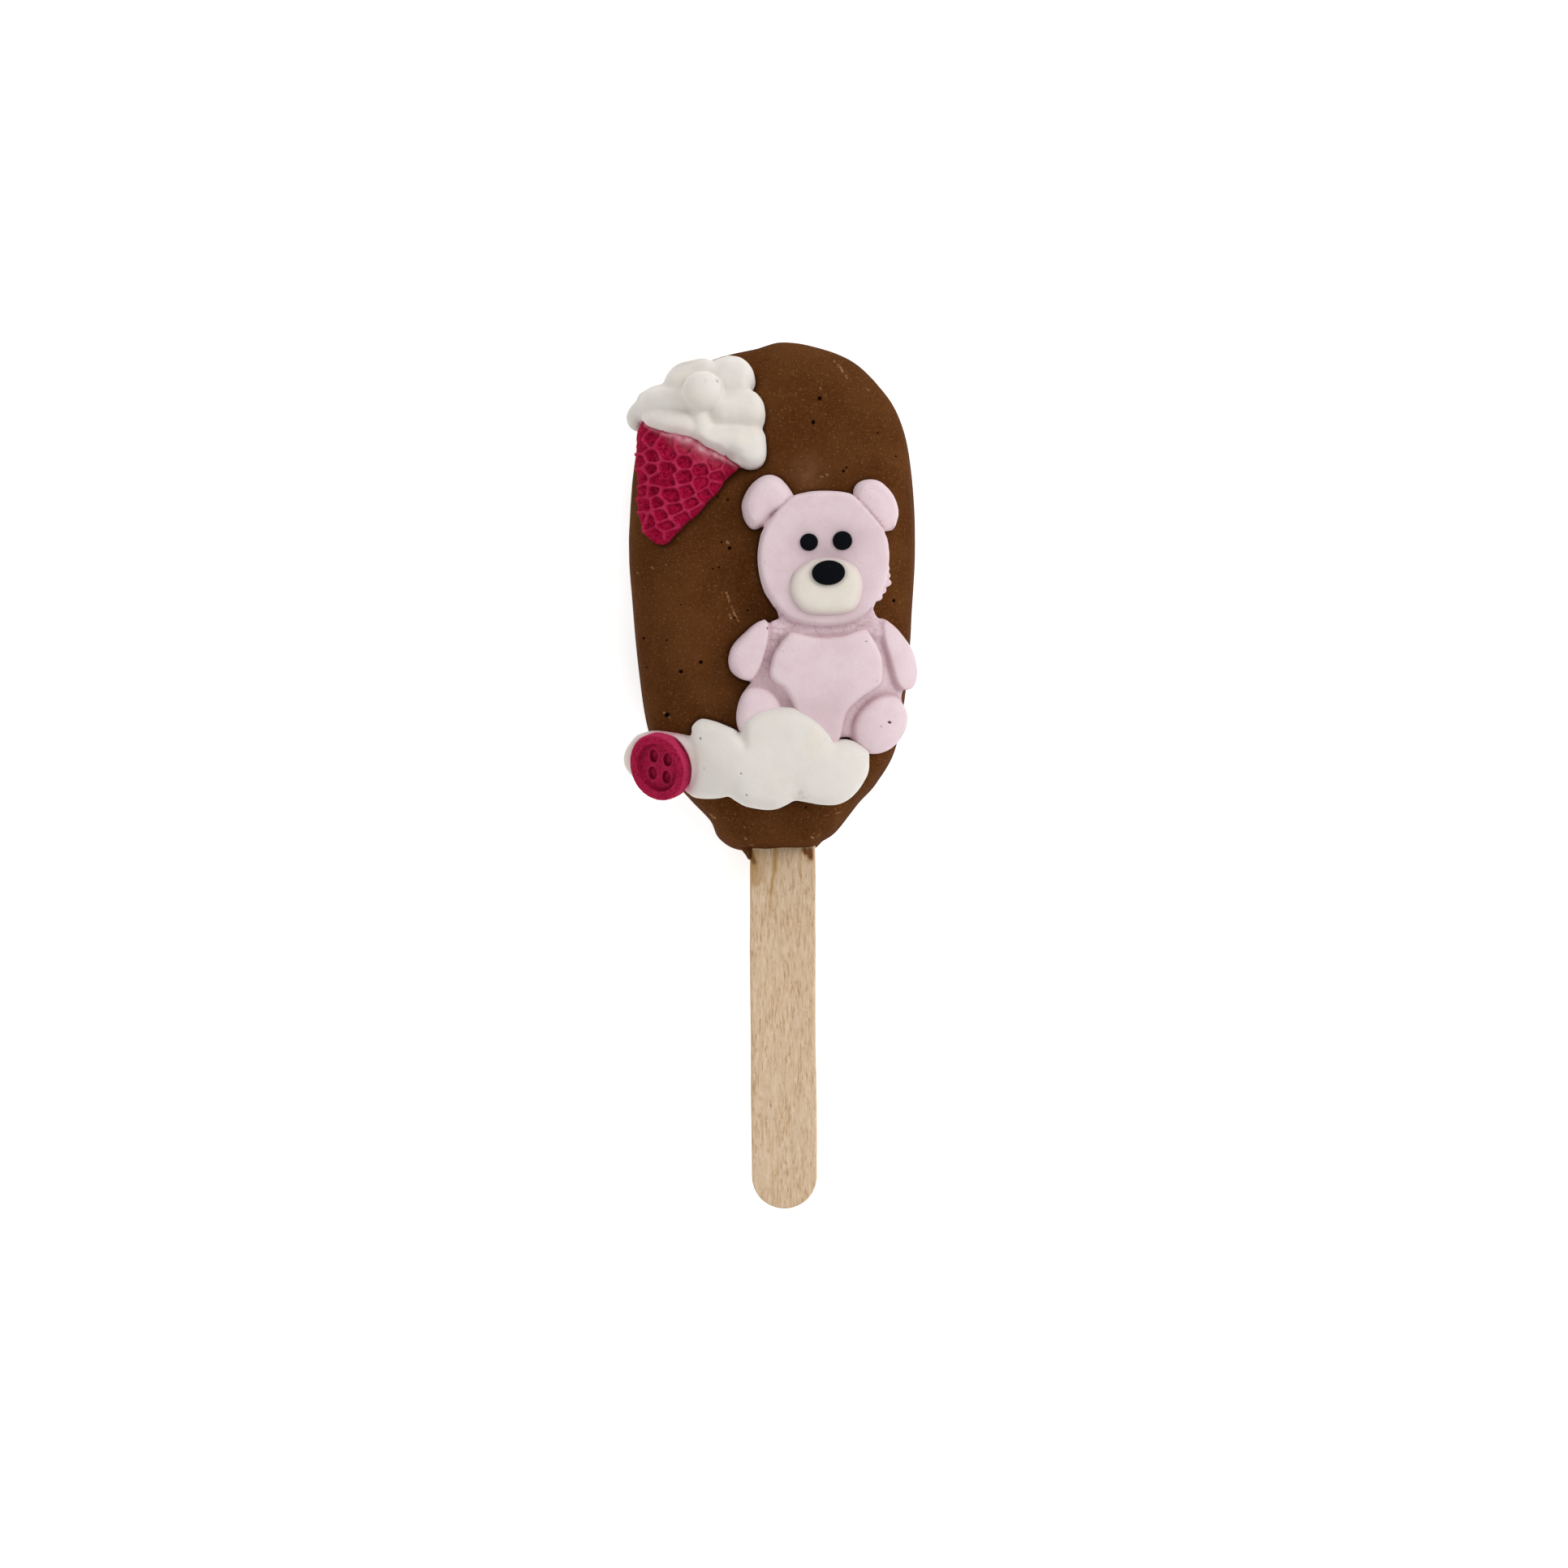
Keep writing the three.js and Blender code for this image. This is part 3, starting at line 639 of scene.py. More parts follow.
def ringed(rings, bottom, top):
    """A closed surface from rings of equally many points, from the lowest to the highest."""
    count = len(rings[0])
    points = np.vstack([[bottom], *rings, [top]])
    side = np.arange(count)
    after = (side + 1) % count
    faces = []
    for k in range(len(rings) - 1):
        a, b = 1 + k * count, 1 + (k + 1) * count
        faces += np.column_stack([a + side, a + after, b + after, b + side]).tolist()
    faces += np.column_stack([after + 1, side + 1, np.zeros(count, int)]).tolist()
    last = 1 + (len(rings) - 1) * count
    end = np.full(count, len(points) - 1)
    faces += np.column_stack([last + side, last + after, end]).tolist()
    return points, faces


def bar_mesh(spots, streaks):
    """The bar's points, faces and normals, with finer faces where it has small marks."""
    rings = bar_rings()
    points, faces = ringed(rings, (*BAR_CENTRE, 0), (*BAR_CENTRE, BAR_FACE + BAR_CROWN))
    mesh = bmesh.new()
    verts = [mesh.verts.new(p) for p in points]
    for face in faces:
        mesh.faces.new([verts[k] for k in face])
    middles = np.array([f.calc_center_median() for f in mesh.faces])
    near = np.zeros(len(middles), bool)
    for uv, size in spots:
        near |= np.hypot(*(middles[:, :2] - uv).T) < size + 0.45
    for ends, size in streaks:
        near |= segment_distance(middles[:, :2], ends) < size + 0.35
    near &= middles[:, 2] > BAR_SHOULDER
    mesh.faces.ensure_lookup_table()
    edges = {edge for k in np.nonzero(near)[0] for edge in mesh.faces[k].edges}
    bmesh.ops.subdivide_edges(mesh, edges=list(edges), cuts=2, use_grid_fill=True)
    mesh.normal_update()
    points = np.array([v.co for v in mesh.verts])
    normal = np.array([v.normal for v in mesh.verts])
    mesh.verts.index_update()
    faces = [[v.index for v in f.verts] for f in mesh.faces]
    mesh.free()
    return points, faces, normal


def marked(points, upper, spots, streaks):
    """Sinks the pits and raises the streaks of bloom. Gives the maps of both: painted shade in the pits, and
    bloom with a painted highlight on the lip beside the stick.
    """
    pit, bloom = np.zeros(len(points)), np.zeros(len(points))
    for uv, size in spots:
        skew = 1 + 0.35 * lumps(points + [*uv, 0], 0.5, 5)
        share = np.hypot(*(points[:, :2] - uv).T) * skew / size
        # painted shade in the pit
        pit = np.maximum(pit, upper * ease(share, 1.15, 0.55))
        points[:, 2] -= upper * 1.3 * size * ease(share, 1.1, 0.1)
        points[:, 2] += upper * 0.09 * size * bell(share - 1.5, 0.35)
    for ends, size in streaks:
        share = segment_distance(points[:, :2], ends) / size
        broken = ease(layered(points, (1, 0.22, 6), (0.5, 0.5, 7)), -0.5, 0.5)
        amount = upper * ease(share, 1.2, 0.3) * broken
        bloom = np.maximum(bloom, 0.85 * amount)
        points[:, 2] += 0.04 * amount
    away = np.hypot(*(points[:, :2] - under([SMUDGE], 0)[0]).T)
    smudge = 0.16 * upper * bell(away, 2.4) * (1 + lumps(points, 0.9, 8))
    return pit, np.maximum(bloom, smudge)


def bar():
    spots = [(under([(x, y)], 0)[0], 0.85 * size) for x, y, size in PITS]
    streaks = [(under([(ax, ay), (bx, by)], 0), size) for ax, ay, bx, by, size in BLOOM_AND_HIGHLIGHT]
    points, faces, normal = bar_mesh(spots, streaks)
    wave = layered(points, (0.2, 9, 1), (0.07, 3.2, 2), (0.02, 1.1, 3))
    neck = ease(points[:, 1], -34, -40) * 0.12 * lumps(points, 2.2, 4)
    on_top = ease(points[:, 2], 2, 10)
    points += normal * ((wave + neck) * on_top - 0.1 * on_top)[:, None]
    upper = points[:, 2] > BAR_SHOULDER
    pit, bloom = marked(points, upper, spots, streaks)
    # painted shade on the chocolate close round the sugar paste
    contact_shade = np.zeros(len(points))
    high = upper * ease(points[:, 2], BAR_FACE - 8, BAR_FACE - 3)
    for rim in (HEAD_RIM, LEFT_EAR_RIM, RIGHT_EAR_RIM, PLATE_RIM, LEFT_ARM_RIM, RIGHT_ARM_RIM,
                RIGHT_FOOT_RIM, CLOUD_RIM, CREAM_RIM, CONE_RIM):
        away = -rim_inset(points[:, :2], rim_of(rim, 3, 2))
        contact_shade = np.maximum(contact_shade, high * 0.7 * bell(np.maximum(away, 0), 0.55))
    looks = {"pit": pit, "bloom": bloom, "contact_shade": contact_shade}
    return put("chocolate_coat", points, faces, "chocolate_bar", looks)


# ---------------------------------------------------------------- stick

STICK_LENGTH, STICK_WIDTH, STICK_THICKNESS = 114.0, 11.0, 2.0
STICK_TIP, STICK_MIDDLE = -103.1, 10.0
STICK_EDGE = 0.35  # how far the rounding of its edges reaches in
STAINS = [  # kind, from x, y to x, y in the photograph, half width in mm, strength
    ("stain", 955.5, 1046, 954, 1073, 0.5, 0.85), ("stain", 954, 1073, 949.5, 1101, 0.34, 0.75),
    ("stain", 949.5, 1101, 948, 1128, 0.28, 0.45), ("stain", 929, 1052, 932, 1086, 1.1, 0.6),
    ("stain", 986, 1048, 986, 1080, 0.26, 0.45), ("stain", 940, 1050, 939, 1085, 0.5, 0.35),
    ("stain", 965, 1048, 964, 1064, 0.25, 0.3), ("knot", 926.5, 1056, 929, 1062, 0.5, 0.8),
    ("knot", 991.5, 1047, 993.5, 1051, 0.62, 1), ("knot", 997, 1047, 998, 1056, 0.6, 1),
    ("knot", 949.3, 1361, 949.3, 1363, 0.2, 0.7), ("knot", 969, 1432, 969, 1434, 0.18, 0.6),
    ("knot", 923, 1047, 926, 1053, 0.6, 0.7),
    ("stain", 926, 1052, 930, 1068, 0.9, 0.8), ("stain", 994, 1050, 996, 1060, 0.7, 0.5),
]


def on_stick(x, y):
    """The place on the stick's upper face that the camera sees at a pixel."""
    scale = (CAMERA_HEIGHT - STICK_MIDDLE - STICK_THICKNESS / 2) / FOCAL
    return np.array([(x - IMAGE / 2) * scale + CAMERA_X, (IMAGE / 2 - y) * scale + CAMERA_Y])


def stick_rings():
    """Rings across the stick, from its tip to its inner end. Their points are close at the edges."""
    half = STICK_WIDTH / 2
    low, high = STICK_TIP + half, STICK_TIP + STICK_LENGTH - half
    turns = np.radians(np.linspace(0, 90, 26))
    stations = [(low - half * math.cos(t), half * math.sin(t)) for t in turns[1:]]
    stations += [(y, half) for y in np.linspace(low, high, 330)[1:-1]]
    stations += [(high + half * math.cos(t), half * math.sin(t)) for t in turns[:0:-1]]
    across = np.concatenate([np.linspace(-0.9, 0.9, 37), [0.94, 0.97, 0.985, 0.996, 1.0]])
    across = np.concatenate([-across[:-6:-1], across])
    row = np.concatenate([across, across[-2:0:-1]])
    upper = np.concatenate([np.ones(len(across)), -np.ones(len(across) - 2)])
    upper[[0, len(across) - 1]] = 0
    rings = []
    for y, width in stations:
        x = row * width
        past = max(low - y, y - high, 0)
        inset = half - np.hypot(x, past)
        rise = (1 - np.clip(1 - inset / STICK_EDGE, 0, 1) ** 2.2) ** (1 / 2.2)
        z = STICK_MIDDLE + upper * (STICK_THICKNESS / 2) * rise
        rings.append(np.column_stack([x, np.full_like(x, y), z]))
    return rings


def stick():
    ends = [(0, STICK_TIP, STICK_MIDDLE), (0, STICK_TIP + STICK_LENGTH, STICK_MIDDLE)]
    points, faces = ringed(stick_rings(), *ends)
    faces = [face[::-1] for face in faces]
    long = points * [1, 0.06, 1]
    points[:, 0] += 0.28 * ease(-points[:, 1], 62, 100)
    side = np.sign(points[:, 0]) * ease(np.abs(points[:, 0]), 4.2, 5.5)
    points[:, 0] += side * 0.06 * lumps(points * [0, 1, 0], 6, 11)
    grain = layered(long, (0.02, 0.8, 12), (0.012, 0.35, 13))
    points[:, 2] += np.sign(points[:, 2] - STICK_MIDDLE) * (grain - 0.02)
    looks = {"stain": np.zeros(len(points)), "knot": np.zeros(len(points))}
    top = points[:, 2] > STICK_MIDDLE
    ragged = 1 + 0.4 * lumps(long, 0.5, 14)
    for kind, ax, ay, bx, by, size, amount in STAINS:
        share = segment_distance(points[:, :2], (on_stick(ax, ay), on_stick(bx, by))) * ragged / size
        looks[kind] = np.maximum(looks[kind], top * amount * ease(share, 1.2, 0.4))
    return put("wooden_stick", points, faces, "stick", looks)


# ---------------------------------------------------------------- teddy bear

# Rims are traced in pixels of the photograph. A third number is that point's own height in mm.
HEAD_RIM = [
    (1018, 604), (1003.6, 604.8), (989, 607), (976.3, 611.5), (965, 621.5), (954.3, 632), (946, 642),
    (940.5, 652), (936.6, 663), (933.8, 678), (933.7, 693), (936.4, 710), (942, 728),
    (951.5, 743), (961, 755), (973, 764.5), (988, 769.5), (1004, 772), (1021, 772.8),
    (1040, 770.7), (1055, 765), (1066.5, 757.5), (1075, 747.5), (1083.6, 735.5), (1090.5, 722),
    (1094.7, 706), (1096.5, 688), (1095.3, 669), (1091, 657), (1083.5, 646), (1073.5, 633.7),
    (1064, 622.5), (1055.5, 613.5), (1047.8, 607.7), (1034, 605),
]
LEFT_EAR_RIM = [
    (976.7, 608.5), (973, 602), (967, 594.3), (959, 587.3), (949.3, 584.3), (939.3, 586),
    (929.3, 592.9), (920.7, 603.6), (915.7, 614.3), (914.3, 622.9), (915.7, 632.9), (919.3, 642, 2),
    (924.3, 648.8, 1), (929, 651.4, 0.5), (934, 650.2, 0.8), (939, 646.5, 1.5), (945.5, 640, 2.5),
    (953, 634.5), (962, 635), (978, 631), (985, 621),
]
RIGHT_EAR_RIM = [
    (1053.3, 604), (1054, 599.5), (1058.2, 594.3), (1066, 590.9), (1075, 590), (1085, 591.8),
    (1093, 597.6), (1101.2, 606.4), (1106.8, 617.1), (1109.6, 627.1), (1109.8, 635), (1108, 643),
    (1105, 650.6), (1102.2, 652.4), (1099.6, 650.4), (1096.3, 652, 1), (1092, 653, 1), (1084, 655),
    (1075, 649), (1063, 634), (1052, 620),
]
LEFT_ARM_RIM = [
    (943, 764.8), (935, 765.9), (925, 772.1), (912.1, 783.6), (902.1, 795), (897.9, 806.4),
    (897.1, 816.4), (900, 826.4), (907.9, 833.6), (917.9, 837.7), (925.5, 838), (932.1, 831),
    (937.9, 819.3), (942.1, 806.4), (946, 792), (947.5, 779.3), (946.6, 769),
]
RIGHT_ARM_RIM = [
    (1087.9, 763.2), (1093.6, 766.4), (1103.6, 775.7), (1113.6, 789.3), (1122.1, 805),
    (1127.1, 819.3), (1127.9, 830.7), (1125.7, 842.1), (1119.3, 848.6), (1110.7, 850),
    (1103.6, 845), (1099.3, 835), (1096, 822.1), (1091.8, 806.4), (1087.9, 792.1), (1085.7, 779.3),
    (1085.2, 770),
]
BELLY_RIM = [
    (973.6, 779.5), (985, 780.7), (999.3, 784.3), (1013.6, 785.9), (1028, 785.2), (1042, 782.9),
    (1056, 777.5), (1065.7, 775.5), (1072, 782), (1079.3, 795), (1084.6, 808), (1086.4, 822),
    (1085.7, 833.6), (1083.2, 843.2), (1075, 850.4), (1063.6, 857.9), (1052, 867.9),
    (1043.6, 877.9), (1039.3, 890.7), (1037, 902), (1033, 912), (1022, 922), (1006, 924),
    (990, 912), (982, 890), (977.9, 870), (972, 857.9), (965, 847.9), (957.9, 843.2),
    (950.8, 837.5), (948, 829.3), (949.4, 819.3), (952.3, 807.9), (958, 797.9), (965, 787.9),
]
LEFT_FOOT_RIM = [
    (937.9, 846.5), (928, 845.5), (920, 848), (913, 857), (908.4, 870.7), (906.8, 883.6),
    (908.6, 896), (915, 908), (930, 915), (948, 912), (960, 900), (965, 884), (962.6, 869),
    (956.4, 857.9), (947.5, 849.8),
]
RIGHT_FOOT_RIM = [
    (1096.4, 854.8), (1081, 858), (1067.9, 866.4), (1056.6, 879.3), (1050.7, 893.6),
    (1051.4, 906.4), (1057, 919), (1070.7, 929.3), (1082, 930.6), (1095, 926.8), (1106.4, 916.6),
    (1115, 903.6), (1118.8, 890.7), (1118.8, 877.9), (1113.8, 866.2), (1106, 857),
]
PLATE_RIM = [
    (963, 754), (960.8, 761.5), (951, 766.3), (932, 778), (915, 805), (921, 834), (925, 840.5),
    (920, 848), (914, 866), (914, 890), (935, 908), (975, 920), (1012, 922), (1034, 909.5),
    (1046, 908.5), (1054, 914), (1075, 922), (1100, 912), (1110, 884), (1107.6, 862),
    (1109.5, 851), (1114, 838), (1117, 818), (1108, 790), (1091, 768), (1079, 762),
    (1072.5, 753), (1060, 735), (1018, 725), (976, 735),
]
MUZZLE_RIM = [
    (1018, 687.5), (1035, 689.3), (1050, 695.5), (1057.9, 704.3), (1061.6, 717), (1061.2, 730),
    (1057, 744), (1049.3, 753), (1037.9, 756.6), (1021, 758), (1003.6, 757.2), (989.3, 752.6),
    (979.3, 742), (974.3, 730), (974.2, 720), (977.1, 708.6), (986.4, 698.4), (1001, 690.4),
]
NECKS = [(966, 757), (1065.5, 753), (945, 642)]  # where fillets join the head to what is beside it
FLASH = [  # ragged lumps of paste that escaped from the mould: x, y and radius in mm
    (1091.3, 700, 0.6), (1091.6, 709, 0.66), (1089.4, 718, 0.7), (1086.2, 727, 0.66),
    (1080.6, 735.5, 0.66), (1071.5, 744, 0.6), (1086.2, 764.8, 0.35), (941.4, 765.4, 0.3),
]
EAR_FOLD = [(1064, 602), (1078, 603), (1090, 611), (1097.5, 624), (1099, 638)]
BEAR_SPOTS = [((1096, 890), 0.24), ((1085.4, 895.7), 0.09), ((1067, 790), 0.1), ((945.5, 774), 0.16)]
EYES = (996.9, 667.6), (1038.2, 665.8)
HEAD, EARS, BELLY, FEET, LEFT_ARM, RIGHT_ARM = 5.3, 4.6, 4.95, 4.7, 4.7, 4.1
MUZZLE_SIDE = 6.4  # the height at which its rim is seen


def rim_of(pixels, height, steps=6, sink=0.7):
    """A closed rim in the flat layout, which is seen at the share sink of its form's height."""
    return loop(under(pixels, height * sink), steps)


def domed(block, inset, height, edge, drop, crown, reach, **more):
    """A mound that also rises towards its middle, by crown within reach of its rim."""
    calm = softened(inset, max(1, round(0.5 / block.cell)))
    inset = inset + ease(inset, 0.2, 1.5) * (calm - inset)
    share = np.clip(calm / reach, 0, 1)
    top = height - crown * (1 - share) ** 2
    return block.mound(inset, top, edge, drop, **more)


def bear_body(block, wobble):
    """Adds the body plate, then the belly, arms and feet. Gives how far columns are from the latter."""
    plate = block.inset(rim_of(PLATE_RIM, 2.4))
    dents = 0.1 * block.waves(2.2, 23) + 0.05 * block.waves(0.8, 24) + 0.9 * ease(block.v, -9.4, -7.4)
    block.add(block.mound(plate + wobble, 2.5 + dents, 0.6))
    arm, foot = (1.5, 2.4, 0.5, 2.6), (1.9, 2.3, 0.4, 3.6)  # edge, drop, crown and reach
    forms = [(BELLY_RIM, BELLY, (0.8, 1.3, 0.25, 4.5)), (LEFT_ARM_RIM, LEFT_ARM, arm),
             (RIGHT_ARM_RIM, RIGHT_ARM, arm), (LEFT_FOOT_RIM, FEET, foot), (RIGHT_FOOT_RIM, FEET, foot)]
    belly = block.inset(rim_of(BELLY_RIM, BELLY))
    gap = np.full(block.u.shape, HIGH)
    for rim, height, roll in forms:
        inset = block.inset(rim_of(rim, height))
        gap = np.minimum(gap, -inset)
        # the arms are round outside, but crisp where they face the belly
        facing = 1.2 * ease(belly, -6, -3) * (roll is arm)
        form = domed(block, inset + facing, height, *roll)
        block.add(np.maximum(form, block.mound(inset, height + 0.1, 0.7, 1.2)), 0.3)
    return gap


def bear_head(block, wobble):
    """Adds the head and ears. Gives how far columns lie inside the head, its upper edge and the ears."""
    outline = block.inset(rim_of(HEAD_RIM, HEAD))
    block.add(block.mound(outline + 0.02 + wobble, 3.7, 0.5), 0.3)
    insets = [block.inset(rim_of(rim, EARS)) + 0.1 for rim in (LEFT_EAR_RIM, RIGHT_EAR_RIM)]
    ears = np.maximum(*insets)
    crisp = ease(ears, -0.6, 0.4)  # the head's edge is crisp where the ears meet it
    head = (outline - 0.22 + 0.12 * crisp) * (1 + 0.9 * crisp)
    share = np.clip(outline / 6, 0, 1)
    block.add(block.mound(head, HEAD - 0.3 * (1 - share) ** 2, 0.85, 1.1), 0.2)
    block.add(block.mound(ears - 0.9, 4.2, 0.5), 0.2)
    beside = block.mound(-outline - 0.02, EARS + 0.15, 0.35, 0.6)
    left, right = (domed(block, ear, EARS, 2.2, 3.0, 0.3, 3.3) for ear in insets)
    fold = bell(block.away(under(EAR_FOLD, EARS)), 0.5)
    right = right + 0.12 * fold[..., None].astype(np.float32)
    for ear in (left, right):
        block.add(np.maximum(ear, beside), 0.15)
    return outline, head, ears


def bear_trim(block):
    """Adds the ragged lumps at the jaw, and fillets in the necks between forms."""
    for x, y, size in FLASH:
        u, v = under([(x, y)], 2.5)[0]
        lump = np.hypot(block.u - u, block.v - v)
        block.add(block.mound(size - lump, 3.1 + 0.5 * math.sin(x), 0.25), 0.4)
    for x, y in NECKS:
        u, v = under([(x, y)], 1.5)[0]
        block.add(block.mound(0.8 - np.hypot(block.u - u, block.v - v), 2.9, 0.5), 0.8)


def eye_shade(flat):
    """The grey shade painted round the eyes and between them."""
    places = under([*EYES, (1018, 670), (1021, 688)], HEAD)
    halo_shade = np.zeros(len(flat))
    for uv, size, amount in zip(places, (2.5, 2.9, 2.9, 2.6), (0.38, 0.42, 0.24, 0.2)):
        halo_shade = np.maximum(halo_shade, amount * bell(np.hypot(*(flat[:, :2] - uv).T), size))
    return halo_shade


def bear():
    block = Block((-10.5, -29, -0.6), (23.5, 19.5, 6.4), 0.18)
    wobble = 0.05 * block.waves(2.6, 21) + 0.02 * block.waves(0.9, 22)
    gap = bear_body(block, wobble)
    outline, head, ears = bear_head(block, wobble)
    bear_trim(block)
    spots = [(under([xy], 4.6)[0], size) for xy, size in BEAR_SPOTS]
    for uv, size in spots:
        block.dent(uv, FEET if size > 0.12 else BELLY, size)
    flat, quads, points, normal = laid(block)
    u, v, h = flat.T

    on_plate = ease(h, 4.1, 3.5) * ease(h, 1.4, 2.0) * (v < -3.5)
    gap = block.over(np.minimum(gap, -outline), flat)
    creased = bell(np.maximum(gap, 0), 0.42) * ease(gap, -0.5, -0.1)
    upper_left = ease(np.hypot(u + 2.2, v + 8.5), 9, 4) + ease(v, -8.6, -6.8)
    rough = on_plate * np.clip(0.3 + 0.7 * upper_left, 0, 1)
    squiggle = ease(np.abs(lumps(flat, 1.5, 25)), 0.09, 0.0) * rough
    wrinkle = ease(np.abs(lumps(flat * [1, 1, 0.2], 0.9, 26)), 0.14, 0.0) * rough
    fine = layered(flat, (0.012, 0.5, 27), (0.02, 1.6, 28))
    points += normal * (fine - 0.05 * squiggle - 0.03 * wrinkle)[:, None]

    ring = np.maximum(-rim_inset(flat[:, :2], rim_of(MUZZLE_RIM, MUZZLE_SIDE)), 0)
    on_head = 0.02 * ease(block.over(head, flat), 0.3, 1.5)
    # painted shade round the eyes, a painted shadow round the muzzle, and a faint darkening over the head
    halo_shade = (eye_shade(flat) + 0.1 * bell(ring, 1.8) + on_head) * ease(h, 4.2, 4.8)
    legs = ease(v, -14, -18)
    # painted shade on the plate, deeper in its creases and beside the legs, in the crease between ears and
    # head, and in the wrinkles; the belly is also darker towards its bottom
    hollow_shade = on_plate * (0.1 + 0.28 * creased) * (1 + 0.45 * legs * (ease(u, 4, 8) - ease(u, 4, 0)))
    ear_crease_shade = bell(block.over(outline, flat) + 0.08, 0.24) * (block.over(ears, flat) > -0.2)
    hollow_shade = hollow_shade + 0.45 * ear_crease_shade * ease(h, 4.7, 4.2)
    hollow_shade = hollow_shade + 0.22 * ease(v, -14.5, -21.5) * ease(h, 4, 4.6) * ease(np.abs(u - 5.5), 8, 3)
    hollow_shade = np.clip(hollow_shade + 0.34 * squiggle + 0.14 * wrinkle, 0, 1)
    pit = pinholes(flat, spots, 1.05, 0.6, 3.6)
    looks = {"rough": 0.3 * rough, "halo_shade": halo_shade, "hollow_shade": hollow_shade, "pit": pit}
    return put("teddy_bear", points, quads, "bear", looks)


def lozenge(name, rim, height, edge, drop, crown, foot, cell, reach=2.0, halo_shade=None):
    """A small piece pressed on to the bear's face."""
    low, high = rim.min(0) - 0.5, rim.max(0) + 0.5
    block = Block((*low, foot - 0.3), (*high, height + 0.5), cell)
    block.add(domed(block, block.inset(rim), height, edge, drop, crown, reach, foot=foot))
    flat, quads, points, normal = laid(block)
    points += normal * layered(flat, (0.008, 0.5, 31), (0.015, 1.5, 32))[:, None]
    looks = {}
    if halo_shade is not None:
        # painted shade on the muzzle round the nose
        away = -rim_inset(flat[:, :2], halo_shade)
        looks["halo_shade"] = 0.45 * ease(away, 0.75, 0.1)
        middle = halo_shade.mean(0)
        rising = ease(flat[:, 1], middle[1] - 1.4, middle[1] + 1.6)
        within = rim_inset(flat[:, :2], rim)
        looks["blush"] = 0.5 * np.clip(0.55 * rising + ease(within, 0.75, 0.1), 0, 1)
    return put(name, points, quads, f"bear_{name}", looks)


def oval(pixel, radii, turn, height):
    """The rim of an oval in the flat layout, seen at that pixel. radii are in mm."""
    angle = np.arange(72) * 2 * np.pi / 72
    x, y = radii[0] * np.cos(angle), radii[1] * np.sin(angle)
    c, s = math.cos(math.radians(turn)), math.sin(math.radians(turn))
    return under([pixel], height)[0] + np.column_stack([x * c - y * s, x * s + y * c])


def face():
    nose = oval((1021.1, 705.2), (2.62, 1.97), 4, 7.6)
    muzzle = rim_of(MUZZLE_RIM, MUZZLE_SIDE)
    # the numbers are height, edge, drop, crown, foot and cell
    pieces = [
        lozenge("muzzle", muzzle, 6.75, 1.5, 1.25, 0.35, 4.4, 0.11, reach=3.2, halo_shade=nose),
        lozenge("nose", nose, 7.75, 0.45, 0.55, 0.25, 5.4, 0.09),
    ]
    for name, pixel, size in zip(("left_eye", "right_eye"), EYES, (1.42, 1.56)):
        eye = oval(pixel, (size, size * 0.98), 10, 5.8)
        pieces.append(lozenge(name, eye, 5.95, 0.4, 0.5, 0.15, 4.3, 0.08))
    return pieces


# ---------------------------------------------------------------- button

BUTTON_AT = np.array([-19.5, -29.0, 20.0])  # the middle of its underside
BUTTON_LEAN, BUTTON_TOWARDS, BUTTON_TURN = 36.5, 204.0, -10.0  # in degrees
BUTTON_RADIUS, BUTTON_THICKNESS = 5.55, 2.0
BUTTON_HOLE, BUTTON_SPACING = 0.95, 1.42  # a hole's radius, and how far off the middle it is each way


def button_place():
    towards = math.radians(BUTTON_TOWARDS)
    axis = Vector((-math.sin(towards), math.cos(towards), 0))
    lean = Matrix.Rotation(math.radians(BUTTON_LEAN), 3, axis)
    return np.array(lean @ Matrix.Rotation(math.radians(BUTTON_TURN), 3, "Z"))


def button_hole(x, y):
    """How far places in the button's plane lie from the nearest of its holes, negative in it."""
    across, along = BUTTON_SPACING * 0.98, BUTTON_SPACING * 1.05
    middles = [(side * across, end * along) for side in (-1, 1) for end in (-1, 1)]
    return np.min([np.hypot((x - mx) / 0.84, (y - my) / 1.12) for mx, my in middles], axis=0) - BUTTON_HOLE


